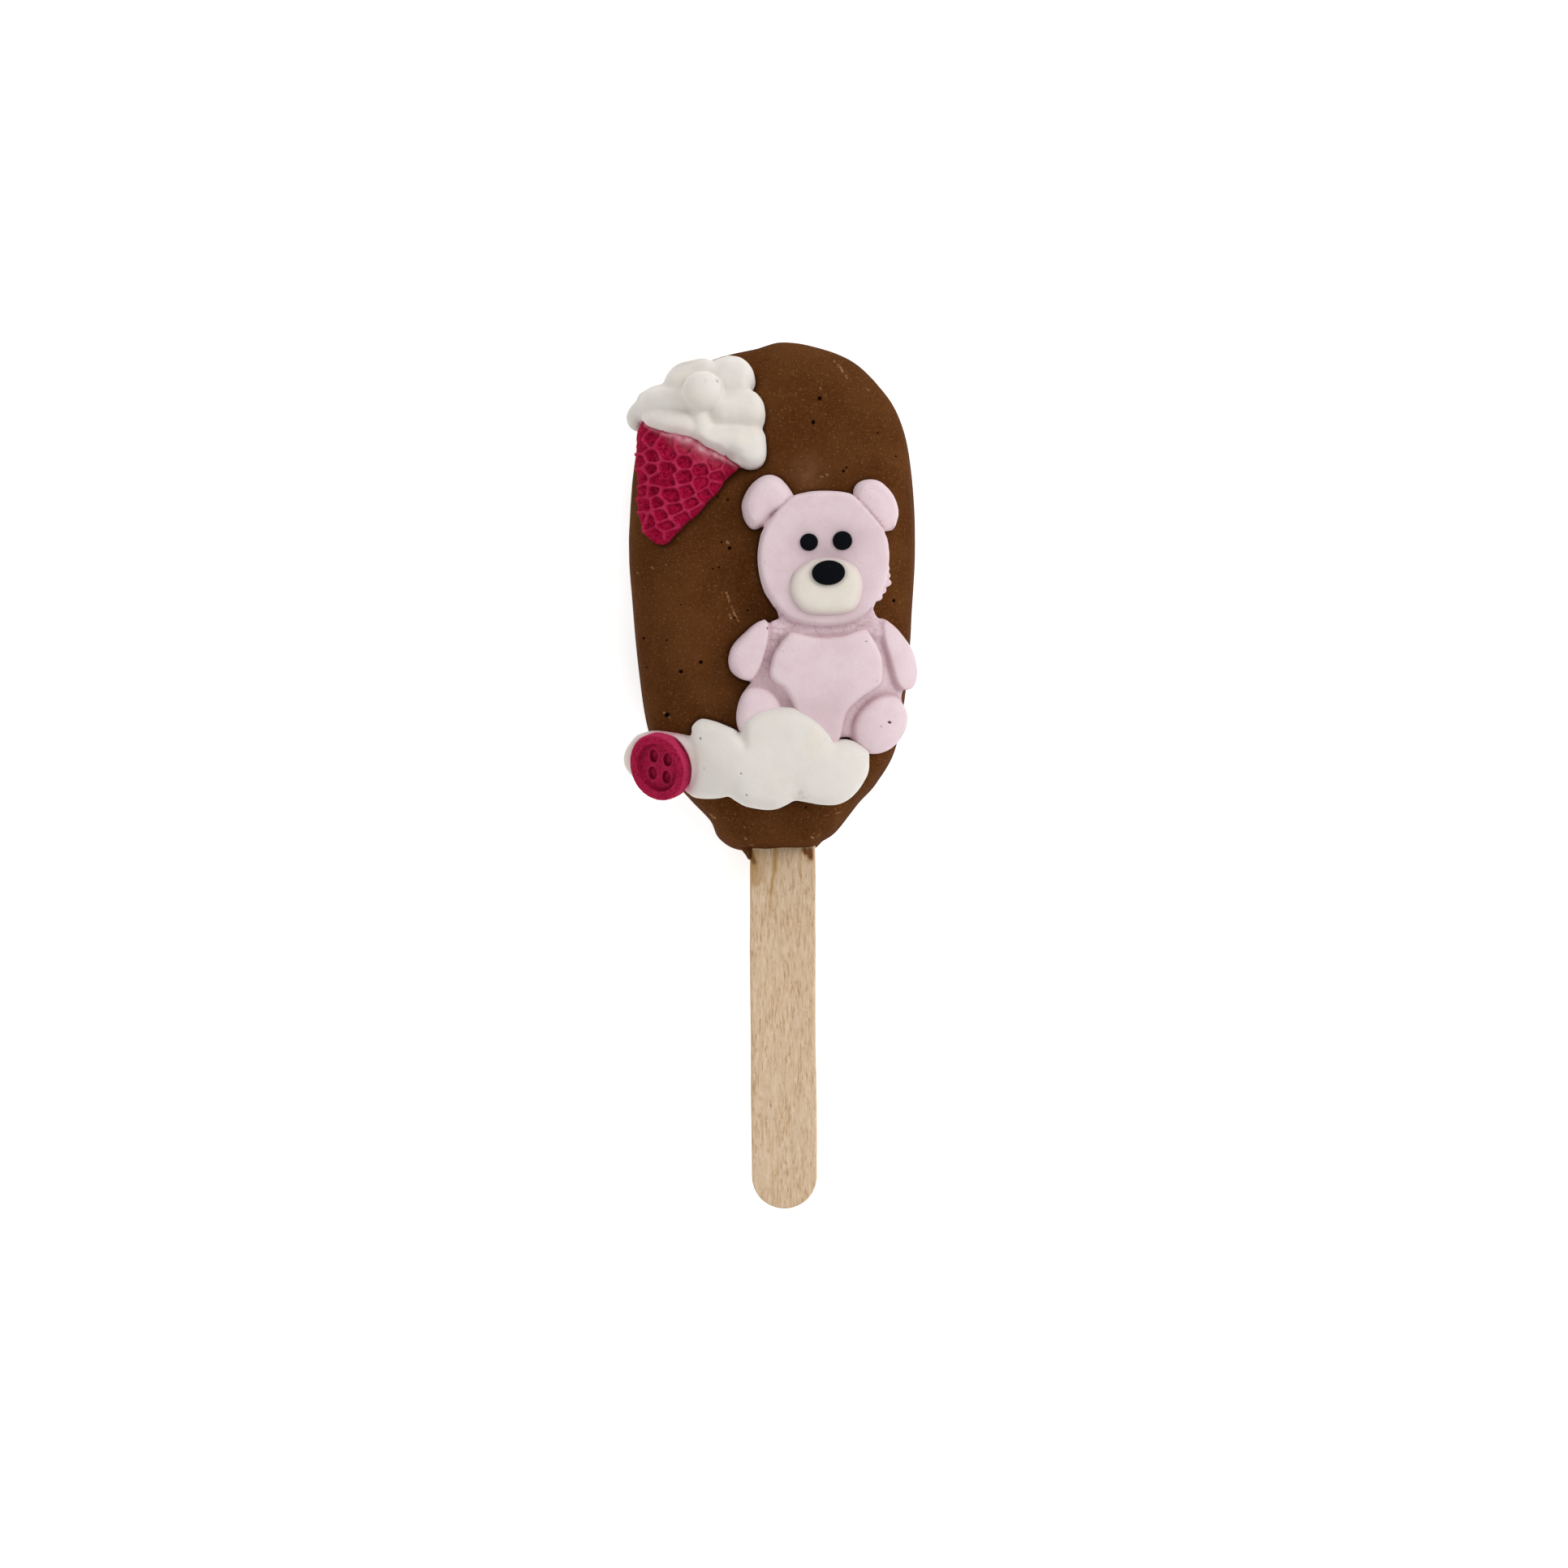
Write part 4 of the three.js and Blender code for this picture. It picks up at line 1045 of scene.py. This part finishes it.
def button():
    size = BUTTON_RADIUS + 0.4
    block = Block((-size, -size, -0.3), (size, size, BUTTON_THICKNESS + 0.4), 0.095)
    away = np.hypot(block.u, block.v)
    wave = 0.05 * block.waves(2.0, 41)
    block.add(block.mound(BUTTON_RADIUS - away + wave, BUTTON_THICKNESS, 0.5, foot=0.0))
    well_top = ease(away, 3.8, 4.25) * 2.2 + 1.0 + 0.04 * block.waves(1.2, 42)
    well = np.where(away < 4.3, well_top, HIGH)
    block.field = np.maximum(block.field, block.h - well[..., None])
    block.cut(np.maximum(button_hole(block.u, block.v)[..., None], 0.35 - block.h))
    flat, quads = block.surface()
    flat = relaxed(flat, quads, 1)
    normal = normals_of(flat, quads)
    x, y, z = flat.T
    away = np.hypot(x, y)
    in_well = ease(away, 4.15, 3.85) * (z > 0.2)
    grain = layered(flat, (0.04, 0.26, 43), (0.03, 0.6, 44))
    pore = ease(lumps(flat, 0.3, 45), 0.3, 0.62)
    to_hole = button_hole(x, y)
    lip = bell(to_hole - 0.2, 0.16) * in_well
    flat = flat + normal * ((grain - 0.06 * pore) * (0.7 - 0.3 * lip))[:, None]
    x, y, z = flat.T
    # painted shade inside the holes and round their edges
    holes = ease(to_hole, 0.05, -0.05) * ease(z, 1.05, 0.85)
    edge = bell(to_hole + 0.03, 0.14) * ease(z, 1.1, 0.9)
    # painted shadow on the floor of the well, strongest beside its right wall
    step = ease(away, 3.4, 3.85) * ease(away, 4.35, 4.1) * ease(z, 2.0, 1.5)
    step = step * (0.25 + 0.75 * ease(x, -3, 2))
    wall = ease(away, BUTTON_RADIUS - 0.35, BUTTON_RADIUS - 0.05)
    specks = pore * (0.35 - 0.1 * in_well) * (1 - 0.6 * wall) * (1 - lip)
    points = flat @ button_place().T + BUTTON_AT
    # the ridge map is painted light on the hole lips and the outer wall; the pore map holds the pores, and
    # the painted shade and shadow above
    looks = {
        "hollow_shade": np.zeros(len(flat)),
        "ridge_highlight": 0.18 + 0.3 * lip + 0.62 * wall,
        "pore": np.clip(specks + 0.1 * holes + 0.5 * edge + 0.75 * step, 0, 1),
    }
    return put("button_piece", points, quads, "button", looks)


# ---------------------------------------------------------------- cloud

CLOUD_RIM = [
    (846, 906), (847.7, 898.2), (855, 890), (864.1, 885.8), (878.6, 888.2), (893.2, 893.6),
    (904.1, 898.6), (911.7, 902.7), (915.9, 891.8), (924.1, 882.7), (936.8, 875.5),
    (951.4, 872.2), (969.5, 871.6), (984.1, 873.6), (998.6, 880), (1011.4, 889.1),
    (1020.5, 899.1), (1027.7, 907.3), (1032.3, 910.9), (1042.3, 911.3), (1053.2, 913.6),
    (1064.1, 919.1), (1071.4, 926), (1071.8, 938.2), (1069.5, 952.7), (1062.3, 967.3),
    (1053.2, 978.2), (1042.3, 986.4), (1027.7, 991.3), (1009.5, 990.9), (991.4, 988.2),
    (979.5, 987.2), (969.5, 991.8), (958.6, 996.4), (945.9, 997.8), (931.4, 996.7),
    (918.6, 993.6), (905.9, 987.3), (896.8, 982.7), (889.5, 983.6, 3.3), (878.6, 984.5, 2.9),
    (864.1, 983.6, 2.3), (851.4, 980.9, 1.8), (842, 977, 1.4), (838, 960, 1), (838, 930, 1),
]
LOBE_RIM = [
    (768, 932.7), (771.4, 921), (778.6, 911), (788, 904.8, 1), (800.5, 901, 0.2), (815, 900.8, 0),
    (831.4, 903.3, 0), (846, 906, 0), (862, 915), (866, 940), (856, 966), (836, 974), (812, 972),
    (794, 967), (782, 960), (774.5, 952), (769.3, 943),
]
VALLEYS = [  # from x, y to x, y in the photograph, width in mm and depth
    (911, 901, 917, 920, 0.85, 0.95), (1033, 909, 1024, 927, 0.85, 0.75), (895, 985, 903, 968, 1.0, 0.3),
    (980, 990, 984, 974, 1.0, 0.35), (1052, 908, 1040, 925, 1.0, 0.15),
]
BUTTON_SEEN, BUTTON_SPAN = (813.7, 943.6), (38, 41.5)  # its middle and half size in pixels
CLOUD_SPOTS = [  # x, y in the photograph, radius and height in mm
    ((863, 910), 0.16, 3.9), ((868, 946), 0.08, 4.2), ((913, 953), 0.13, 5.5), ((920, 979), 0.12, 5.3),
]


def room_for_button(block):
    """A form that holds the button and what is straight above it."""
    place = button_place()
    local = (block.world() - BUTTON_AT) @ place
    away = np.hypot(local[..., 0], local[..., 1])
    for level in (0, BUTTON_THICKNESS):
        above = local - place[2] * ((local[..., 2:] - level) / place[2, 2])
        away = np.minimum(away, np.hypot(above[..., 0], above[..., 1]))
    return np.maximum(away - BUTTON_RADIUS - 0.05, -0.05 - local[..., 2])


def cloud():
    block = Block((-28, -38, -0.6), (15.5, -18.5, 7.6), 0.17)
    wobble = 0.05 * block.waves(2.4, 51)
    lobe = block.inset(rim_of(LOBE_RIM, 2.6))
    block.add(block.mound(lobe + wobble, 2.8 - 0.3 * (1 - np.clip(lobe / 3, 0, 1)) ** 2, 1.2, 1.4))
    inset = block.inset(rim_of(CLOUD_RIM, 5))
    calm = softened(inset, 4)
    across = ease(block.u, -16.5, -5)
    top = 3.7 + 2.4 * across - 0.5 * ease(block.u, 6, 13)
    top = top - 0.75 * (1 - np.clip(calm / 5, 0, 1)) ** 2
    off = (block.seen(4) - BUTTON_SEEN) / BUTTON_SPAN
    ring = 5.1 * (np.hypot(off[..., 0], off[..., 1]) - 1)
    top = top - 1.3 * bell(np.maximum(ring, 0), 1.5)
    for ax, ay, bx, by, width, depth in VALLEYS:
        ends = under([(ax, ay), (bx, by)], 5)
        fade = bell(np.hypot(block.u - ends[0][0], block.v - ends[0][1]), 2.6)
        top = top - depth * bell(block.away(ends), width) * fade
    top = top + 0.07 * block.waves(4.5, 52) + 0.03 * block.waves(1.6, 53)
    block.add(block.mound(inset + wobble, top, 1.9, 2.1), 0.5)
    spots = [(under([xy], height)[0], size, height) for xy, size, height in CLOUD_SPOTS]
    for uv, size, height in spots:
        block.dent(uv, height, size, 0.7)
    block.cut(room_for_button(block))

    flat, quads, points, normal = laid(block)
    points += normal * layered(flat, (0.012, 0.6, 54), (0.02, 1.8, 55))[:, None]
    u, v, h = flat.T
    local = (points - BUTTON_AT) @ button_place()
    away = np.maximum(np.hypot(local[:, 0], local[:, 1]) - BUTTON_RADIUS, 0)
    bleed = np.clip(0.35 * np.exp(-away / 1.3) + 0.35 * np.exp(-away / 0.35), 0, 1)
    pit = 0.65 * pinholes(flat, [spot[:2] for spot in spots], 1.1, 0.5, 3)
    x, y = under([(987, 980)], 5.5)[0]
    dirt = 0.22 * bell(np.hypot(u - x, v - y), 0.8 ** 0.5) * ease(lumps(flat, 0.4, 56), -0.3, 0.4)
    # painted shade low on the cloud's walls and over its far left end
    hollow_shade = 0.35 * ease(h, 2.6, 1.2) * (u > -15) + 0.12 * ease(u, -15, -20)
    looks = {"bleed": bleed, "pit": np.maximum(pit, dirt), "hollow_shade": hollow_shade}
    return put("cloud_piece", points, quads, "cloud", looks)


# ---------------------------------------------------------------- ice cream

CREAM_RIM = [
    (772.8, 513), (778, 501.5), (787, 492), (798.9, 483.5), (809.7, 477.3), (819.5, 473),
    (823.5, 465.8), (831.2, 457.3), (842, 448.8), (854.3, 445.2), (869.7, 444.2), (882, 445),
    (891.2, 443), (897.4, 440.1), (903.5, 439.6), (912.8, 441.9), (922, 448.8), (928.2, 458.1),
    (930, 466.5), (928, 474.2), (925.2, 480.5), (932, 485.5), (939.8, 495.8), (943, 506.5),
    (942.2, 517.3), (939.2, 527), (942.8, 537.3), (944, 551.2), (943.5, 561.5), (939.8, 570),
    (932.3, 575.6), (923.3, 576.8), (914.3, 574.2), (906.6, 571), (900, 568), (893, 565),
    (882, 557.5), (869.7, 552.5), (860.5, 545), (852, 540.5), (842, 538.8), (829.7, 536.3),
    (817.4, 533), (805.1, 527.8), (796, 520, 2), (791, 522, 1.5),
    (784.5, 528), (777, 528.5), (773, 522),
]
FOLDS = [  # in groups, each from x, y to x, y in the photograph, half width in pixels and height in mm
    [(832, 467, 868, 457, 15, 4.6), (897, 461, 909, 463, 21, 5.1)],
    [(803, 491, 846, 488, 15.5, 4.7), (780, 514, 791, 501, 14, 3.2)],
    [(806, 519, 848, 524, 16, 4.6)],
    [(893, 502, 924, 503, 20.5, 5.6)],
    [(868, 540, 905, 541, 18, 5.2), (922, 548, 926, 558, 22, 5.3), (862, 507, 864, 522, 13, 4.9)],
]
CREAM_BALL, BALL_SIZE = (865.5, 482.5), (3.3, 3.25, 2.7)
CONE_RIM = [
    (787, 527), (783.8, 541.9), (783.2, 563.5), (783, 578.8), (784.6, 594.2), (784, 609.6),
    (784.8, 625), (786.6, 640.4), (791.4, 655.8), (800.5, 666.5), (809.7, 670.7), (818.9, 666.5),
    (831.2, 655.8), (845.1, 643.5), (860.5, 631.2), (870, 619), (883, 606.8), (891.2, 593.5),
    (900.5, 584.6), (908.4, 577.5), (916, 566), (914, 548), (893, 529), (860, 505), (822, 499),
    (800, 505),
]
CELLS = [  # the waffle's cells: depth in mm, then a place in the photograph, or more where cells run together
    (0.5, (787.5, 536), (788, 550)), (0.6, (800.5, 541)), (0.45, (820, 547), (822, 560)), (0.4, (841, 550)),
    (0.55, (802, 563)), (0.5, (786.5, 568)), (0.65, (842, 570)), (0.0, (861, 560)), (0.5, (881, 572)),
    (0.55, (862, 579)), (0.55, (841, 588)), (0.65, (824, 577), (820, 592), (808, 592)),
    (0.6, (801, 580)), (0.5, (788, 588)), (0.55, (899, 577)), (0.5, (884, 588)), (0.4, (864, 597)),
    (0.5, (846, 606)), (0.6, (827, 611)), (0.6, (803, 606)), (0.45, (791, 605)), (0.55, (809, 620)),
    (0.5, (793, 622)), (0.55, (882, 601)), (0.5, (869, 609)), (0.5, (853, 621)), (0.5, (831, 628)),
    (0.4, (814, 636)), (0.5, (799, 642)), (0.55, (821, 648)), (0.5, (840, 638)), (0.5, (858, 629)),
    (0.5, (808, 659)), (0.45, (828, 660)), (0.45, (788, 640)),
]
RIDGE = 0.17  # half of the ridges' width
BORDER = [  # where cream and cone meet
    (790, 520), (800, 527), (817, 535), (835, 538), (851, 544), (868, 555), (880, 559), (893, 565),
    (906, 573),
]
CREAM_EDGE = 1.9  # the height that the rims of cream and cone are traced for


def fold_height(pixels, ax, ay, bx, by, half, height):
    """A map of the height of a rounded fold, which is higher than its surroundings."""
    ends = np.array([(ax, ay), (bx, by)], float)
    away = segment_distance(pixels.reshape(-1, 2), ends).reshape(pixels.shape[:2])
    share = np.clip(away / (1.18 * half), 0, 1)
    return height * (0.45 + 0.55 * np.sqrt(1 - share ** 2))


def soft_max(maps, soft):
    """The highest of some height maps, with rounded valleys between them."""
    total = maps[0]
    for other in maps[1:]:
        near = np.maximum(0, 1 - np.abs(total - other) / soft)
        total = np.maximum(total, other) + soft / 4 * near ** 2
    return total


def at_border(flat):
    """How far points are from where cream and cone meet, and how much the two mix there."""
    near = path_distance(flat[:, :2], under(BORDER, 3.8))
    across = seen_at(draped(flat[:, 0], flat[:, 1], 3.8))[:, 0]
    return near, ease(across, 812, 838) * ease(across, 902, 874)  # less at both ends of the border


def patch(flat, pixel, height, wide, tall):
    """A soft patch round the place that is seen at a pixel."""
    u, v = under([pixel], height)[0]
    return np.exp(-(((flat[:, 0] - u) / wide) ** 2 + ((flat[:, 1] - v) / tall) ** 2))


def cream():
    block = Block((-28, 16.5, -0.6), (0, 40.5, 8.6), 0.15)
    inset = block.inset(rim_of(CREAM_RIM, CREAM_EDGE, sink=1))
    wobble = 0.06 * block.waves(2.2, 61)
    top = 3.5
    for _ in range(4):  # the camera sees a place elsewhere when it is higher
        pixels = block.seen(top)
        groups = [soft_max([fold_height(pixels, *fold) for fold in group], 1.6) for group in FOLDS]
        top = soft_max(groups, 0.4)
    top = softened(top, 1) + 0.08 * block.waves(2.0, 62) + 0.03 * block.waves(0.8, 63)
    near = at_border(block.flat())[0].reshape(block.u.shape)
    thin = ease(near, 1.8, 0.5)  # it thins out where it lies on the cone
    top = top + thin * np.minimum(0, 3.65 + 0.9 * np.maximum(inset, 0) - top)
    block.add(block.mound(inset + wobble, top, 1.5, 1.7 - 1.35 * thin))
    middle = draped(*under([CREAM_BALL], 4.9)[0], 4.9)
    ball = np.linalg.norm((block.world() - middle) / BALL_SIZE, axis=-1)
    ball = ball + 0.05 * block.waves(2.2, 67)[..., None]
    block.add((BALL_SIZE[2] * (ball - 1)).astype(np.float32), 0.45)
    spot = under([(884, 470)], 6)[0]
    block.dent(spot, 6.3, 0.13, 0.4)

    flat, quads, points, normal = laid(block)
    points += normal * layered(flat, (0.012, 0.5, 64), (0.03, 1.4, 65))[:, None]
    near, dust = at_border(flat)
    patchy = 0.5 + 0.5 * ease(lumps(flat, 1.2, 66), -0.6, 0.6)
    bleed = (0.3 * bell(near, 0.4) + 0.2 * bell(near, 1.5)) * (0.5 + dust) * patchy
    # painted shade in the hollow under the curl, on the upper left fold and towards the left end
    curl = patch(flat, (896, 563), 2.5, 1.4, 1.1)
    shade = patch(flat, (848, 456), 3, 3.2, 1.6)
    hollow_shade = 0.4 * curl + 0.35 * shade + 0.15 * ease(flat[:, 0], -21, -24.5)
    looks = {"bleed": bleed, "pit": 0.5 * pinholes(flat, [(spot, 0.2)], 1.1, 0.4, 4), "hollow_shade": hollow_shade}
    return put("whipped_cream", points, quads, "cream", looks)


def waffle(block):
    """Two maps: how far inside its cell each place lies, negative on the ridges, and the cell's depth."""
    flat = block.flat()
    place = flat[:, :2] + 0.2 * np.column_stack([lumps(flat, 1.7, 71), lumps(flat, 1.7, 72)])
    nearest = np.full(len(place), HIGH)
    second, deep = nearest.copy(), np.zeros(len(place))
    nearest_at, second_at = place.copy(), place + 1
    for depth, *pixels in CELLS:
        spots = under(pixels, 3.4)
        far = np.linalg.norm(place[:, None, :] - spots, axis=2)
        away, at = far.min(1), spots[far.argmin(1)]
        first = away < nearest
        runner = ~first & (away < second)
        second = np.where(first, nearest, np.where(runner, away, second))
        second_at = np.where(first[:, None], nearest_at, np.where(runner[:, None], at, second_at))
        nearest, deep = np.where(first, away, nearest), np.where(first, depth, deep)
        nearest_at = np.where(first[:, None], at, nearest_at)
    apart = np.linalg.norm(second_at - nearest_at, axis=1)
    inside = (second ** 2 - nearest ** 2) / (2 * apart) - RIDGE
    inside = inside.reshape(block.u.shape)
    return softened(np.minimum(inside, 0.6), 1) + 0.03 * block.waves(0.5, 73), deep.reshape(block.u.shape)


def cone():
    block = Block((-25.5, 4.5, -0.6), (-4.5, 28.5, 5.2), 0.12)
    inset = block.inset(rim_of(CONE_RIM, CREAM_EDGE, sink=1)) + 0.08 * block.waves(1.6, 74)
    inside, deep = waffle(block)
    near, dust = (values.reshape(block.u.shape) for values in at_border(block.flat()))
    pressed = ease(inside, -0.03, 0.15) * ease(near, 0.1, 0.5 + dust)
    floor = pressed * (deep > 0)
    share = np.clip(inset / 5.5, 0, 1)
    pore = ease(block.waves(0.34, 80), 0.3, 0.65)
    rough = 0.07 * block.waves(0.42, 75) + 0.05 * block.waves(0.24, 76) - 0.09 * pore
    in_cream = block.inset(rim_of(CREAM_RIM, CREAM_EDGE, sink=1))
    covered = 0.3 * ease(in_cream, -1.8, -0.2) + 0.9 * ease(in_cream, 0.7, 1.7)
    covered = covered * ease(inset, 0.2, 1.4)  # it is lower where it goes under the cream
    top = 3.85 - 0.9 * (1 - share) ** 2 - covered - 1.25 * pressed * deep * ease(inset, -0.3, 1)
    top = top + (0.25 + 0.75 * floor) * rough
    top = top + 0.06 * block.waves(1.0, 77)
    notch = 0.1 * pressed * ease(inset, 1.2, 0.1)
    block.add(block.mound(inset - notch, top, 1.3, 1.6))

    flat, quads = block.surface()
    points = draped(*flat.T)
    on_top = ease(flat[:, 2], 1.2, 2.0)
    near, dust = block.over(near, flat), block.over(dust, flat)
    # painted highlight on the ridges between the cells, of patchy strength
    ridge_highlight = ease(block.over(inside, flat), 0.08, -0.08) * on_top * ease(near, 0.2, 1.2)
    ridge_highlight_strength = 0.42 + 0.4 * ease(lumps(flat, 1.2, 78), -0.5, 0.4) + 0.2 * ease(flat[:, 0], -19, -23.5)
    # painted shade on the floors of the cells
    hollow_shade = block.over(floor, flat) * on_top
    powder = 0.3 * bell(near, 0.35) + dust * (0.35 * bell(near, 0.6) + 0.16 * bell(near, 1.6))
    bleed = np.clip(powder * (0.75 + 0.5 * lumps(flat, 0.6, 79)), 0, 1)
    pore = 0.45 * block.over(pore, flat) * (0.2 + 0.8 * hollow_shade) * on_top
    looks = {"ridge_highlight": ridge_highlight * ridge_highlight_strength, "hollow_shade": hollow_shade, "bleed": bleed, "pore": pore}
    return put("waffle_cone", points, quads, "cone", looks)


# ---------------------------------------------------------------- chocolate at the stick

DRIP = [  # x and y of its balls, and their half width and half height
    (-6.0, -42.3, 1.1, 1.9), (-5.85, -43.1, 0.6, 1.4), (-5.66, -43.8, 0.42, 1.15), (-5.5, -44.4, 0.32, 1.05),
]


def drip():
    """The foot of chocolate that clings to the stick's left edge."""
    block = Block((-8.2, -49, 7.2), (-3.6, -41, 12.4), 0.11)
    field = np.full(block.field.shape, HIGH)
    for x, y, wide, tall in DRIP:
        flat = ((block.u - x) / wide) ** 2 + ((block.v - y) / (wide * 1.15)) ** 2
        ball = np.sqrt(flat[..., None] + ((block.h - STICK_MIDDLE) / tall) ** 2)
        one = (ball - 1) * wide
        near = np.maximum(0, 1 - np.abs(field - one) / 0.6)
        field = np.minimum(field, one) - 0.15 * near ** 2
    block.field = field.astype(np.float32)
    points, quads = block.surface()
    points = relaxed(points, quads, 2)
    looks = {name: np.zeros(len(points)) for name in ("pit", "bloom", "contact_shade")}
    return put("chocolate_foot", points, quads, None, looks)


# ---------------------------------------------------------------- stage

def stage():
    half = 2.5  # metres
    corners = np.array([(-half, -half, 0), (half, -half, 0), (half, half, 0), (-half, half, 0)], float)
    mesh = bpy.data.meshes.new("floor")
    mesh.from_pydata(corners.tolist(), [], [(0, 1, 2, 3)])
    floor = bpy.data.objects.new("floor", mesh)
    bpy.context.scene.collection.objects.link(floor)
    paint = Paint("floor_paint", (255, 255, 255), 0.9, 0.1)
    paint.tone = paint.mix(paint.noise(0.02, 2), (0.96, 0.96, 0.96, 1), (0.98, 0.98, 0.98, 1))
    paint.set("Emission Color", (1, 1, 1, 1))
    paint.set("Emission Strength", 0.55)
    floor.data.materials.append(paint.done())


def area_light(name, at, size, power):
    """A round lamp that is aimed at the bar."""
    light = bpy.data.lights.new(name, "AREA")
    light.shape = "DISK"
    light.size = size
    light.energy = power
    lamp = bpy.data.objects.new(name, light)
    lamp.location = at
    aim = Vector((0, 0, 0.01))
    lamp.rotation_euler = (Vector(at) - aim).to_track_quat("Z", "Y").to_euler()
    bpy.context.scene.collection.objects.link(lamp)


def studio():
    world = bpy.data.worlds.new("studio")
    world.use_nodes = True
    background = world.node_tree.nodes["Background"]
    background.inputs["Color"].default_value = (1.0, 1.0, 1.0, 1)
    background.inputs["Strength"].default_value = 0.3
    bpy.context.scene.world = world
    area_light("key", (0.62, 0.3, 0.58), 0.5, 3.5)
    area_light("left_fill", (-0.62, 0.1, 0.62), 0.5, 1.15)
    area_light("top_fill", (0.0, 0.68, 0.6), 0.5, 1.5)
    area_light("low_fill", (0.15, -0.7, 0.62), 0.5, 2.15)


def camera():
    data = bpy.data.cameras.new("camera")
    data.sensor_width = SENSOR
    data.lens = SENSOR * FOCAL / IMAGE
    data.clip_start, data.clip_end = 0.01, 20
    view = bpy.data.objects.new("camera", data)
    view.location = (CAMERA_X * MM, CAMERA_Y * MM, CAMERA_HEIGHT * MM)
    bpy.context.scene.collection.objects.link(view)
    bpy.context.scene.camera = view


def dress(things, material):
    for thing in things if isinstance(things, list) else [things]:
        thing.data.materials.clear()
        thing.data.materials.append(material)


camera()
studio()
stage()
dress([bar(), drip()], chocolate())
dress(stick(), wood())
dress(bear(), pink())
muzzle, *dark = face()
dress(muzzle, ivory())
dress(dark, black())
dress([cloud(), cream()], white())
dress([cone(), button()], magenta())

bpy.context.scene.view_settings.view_transform = "Standard"
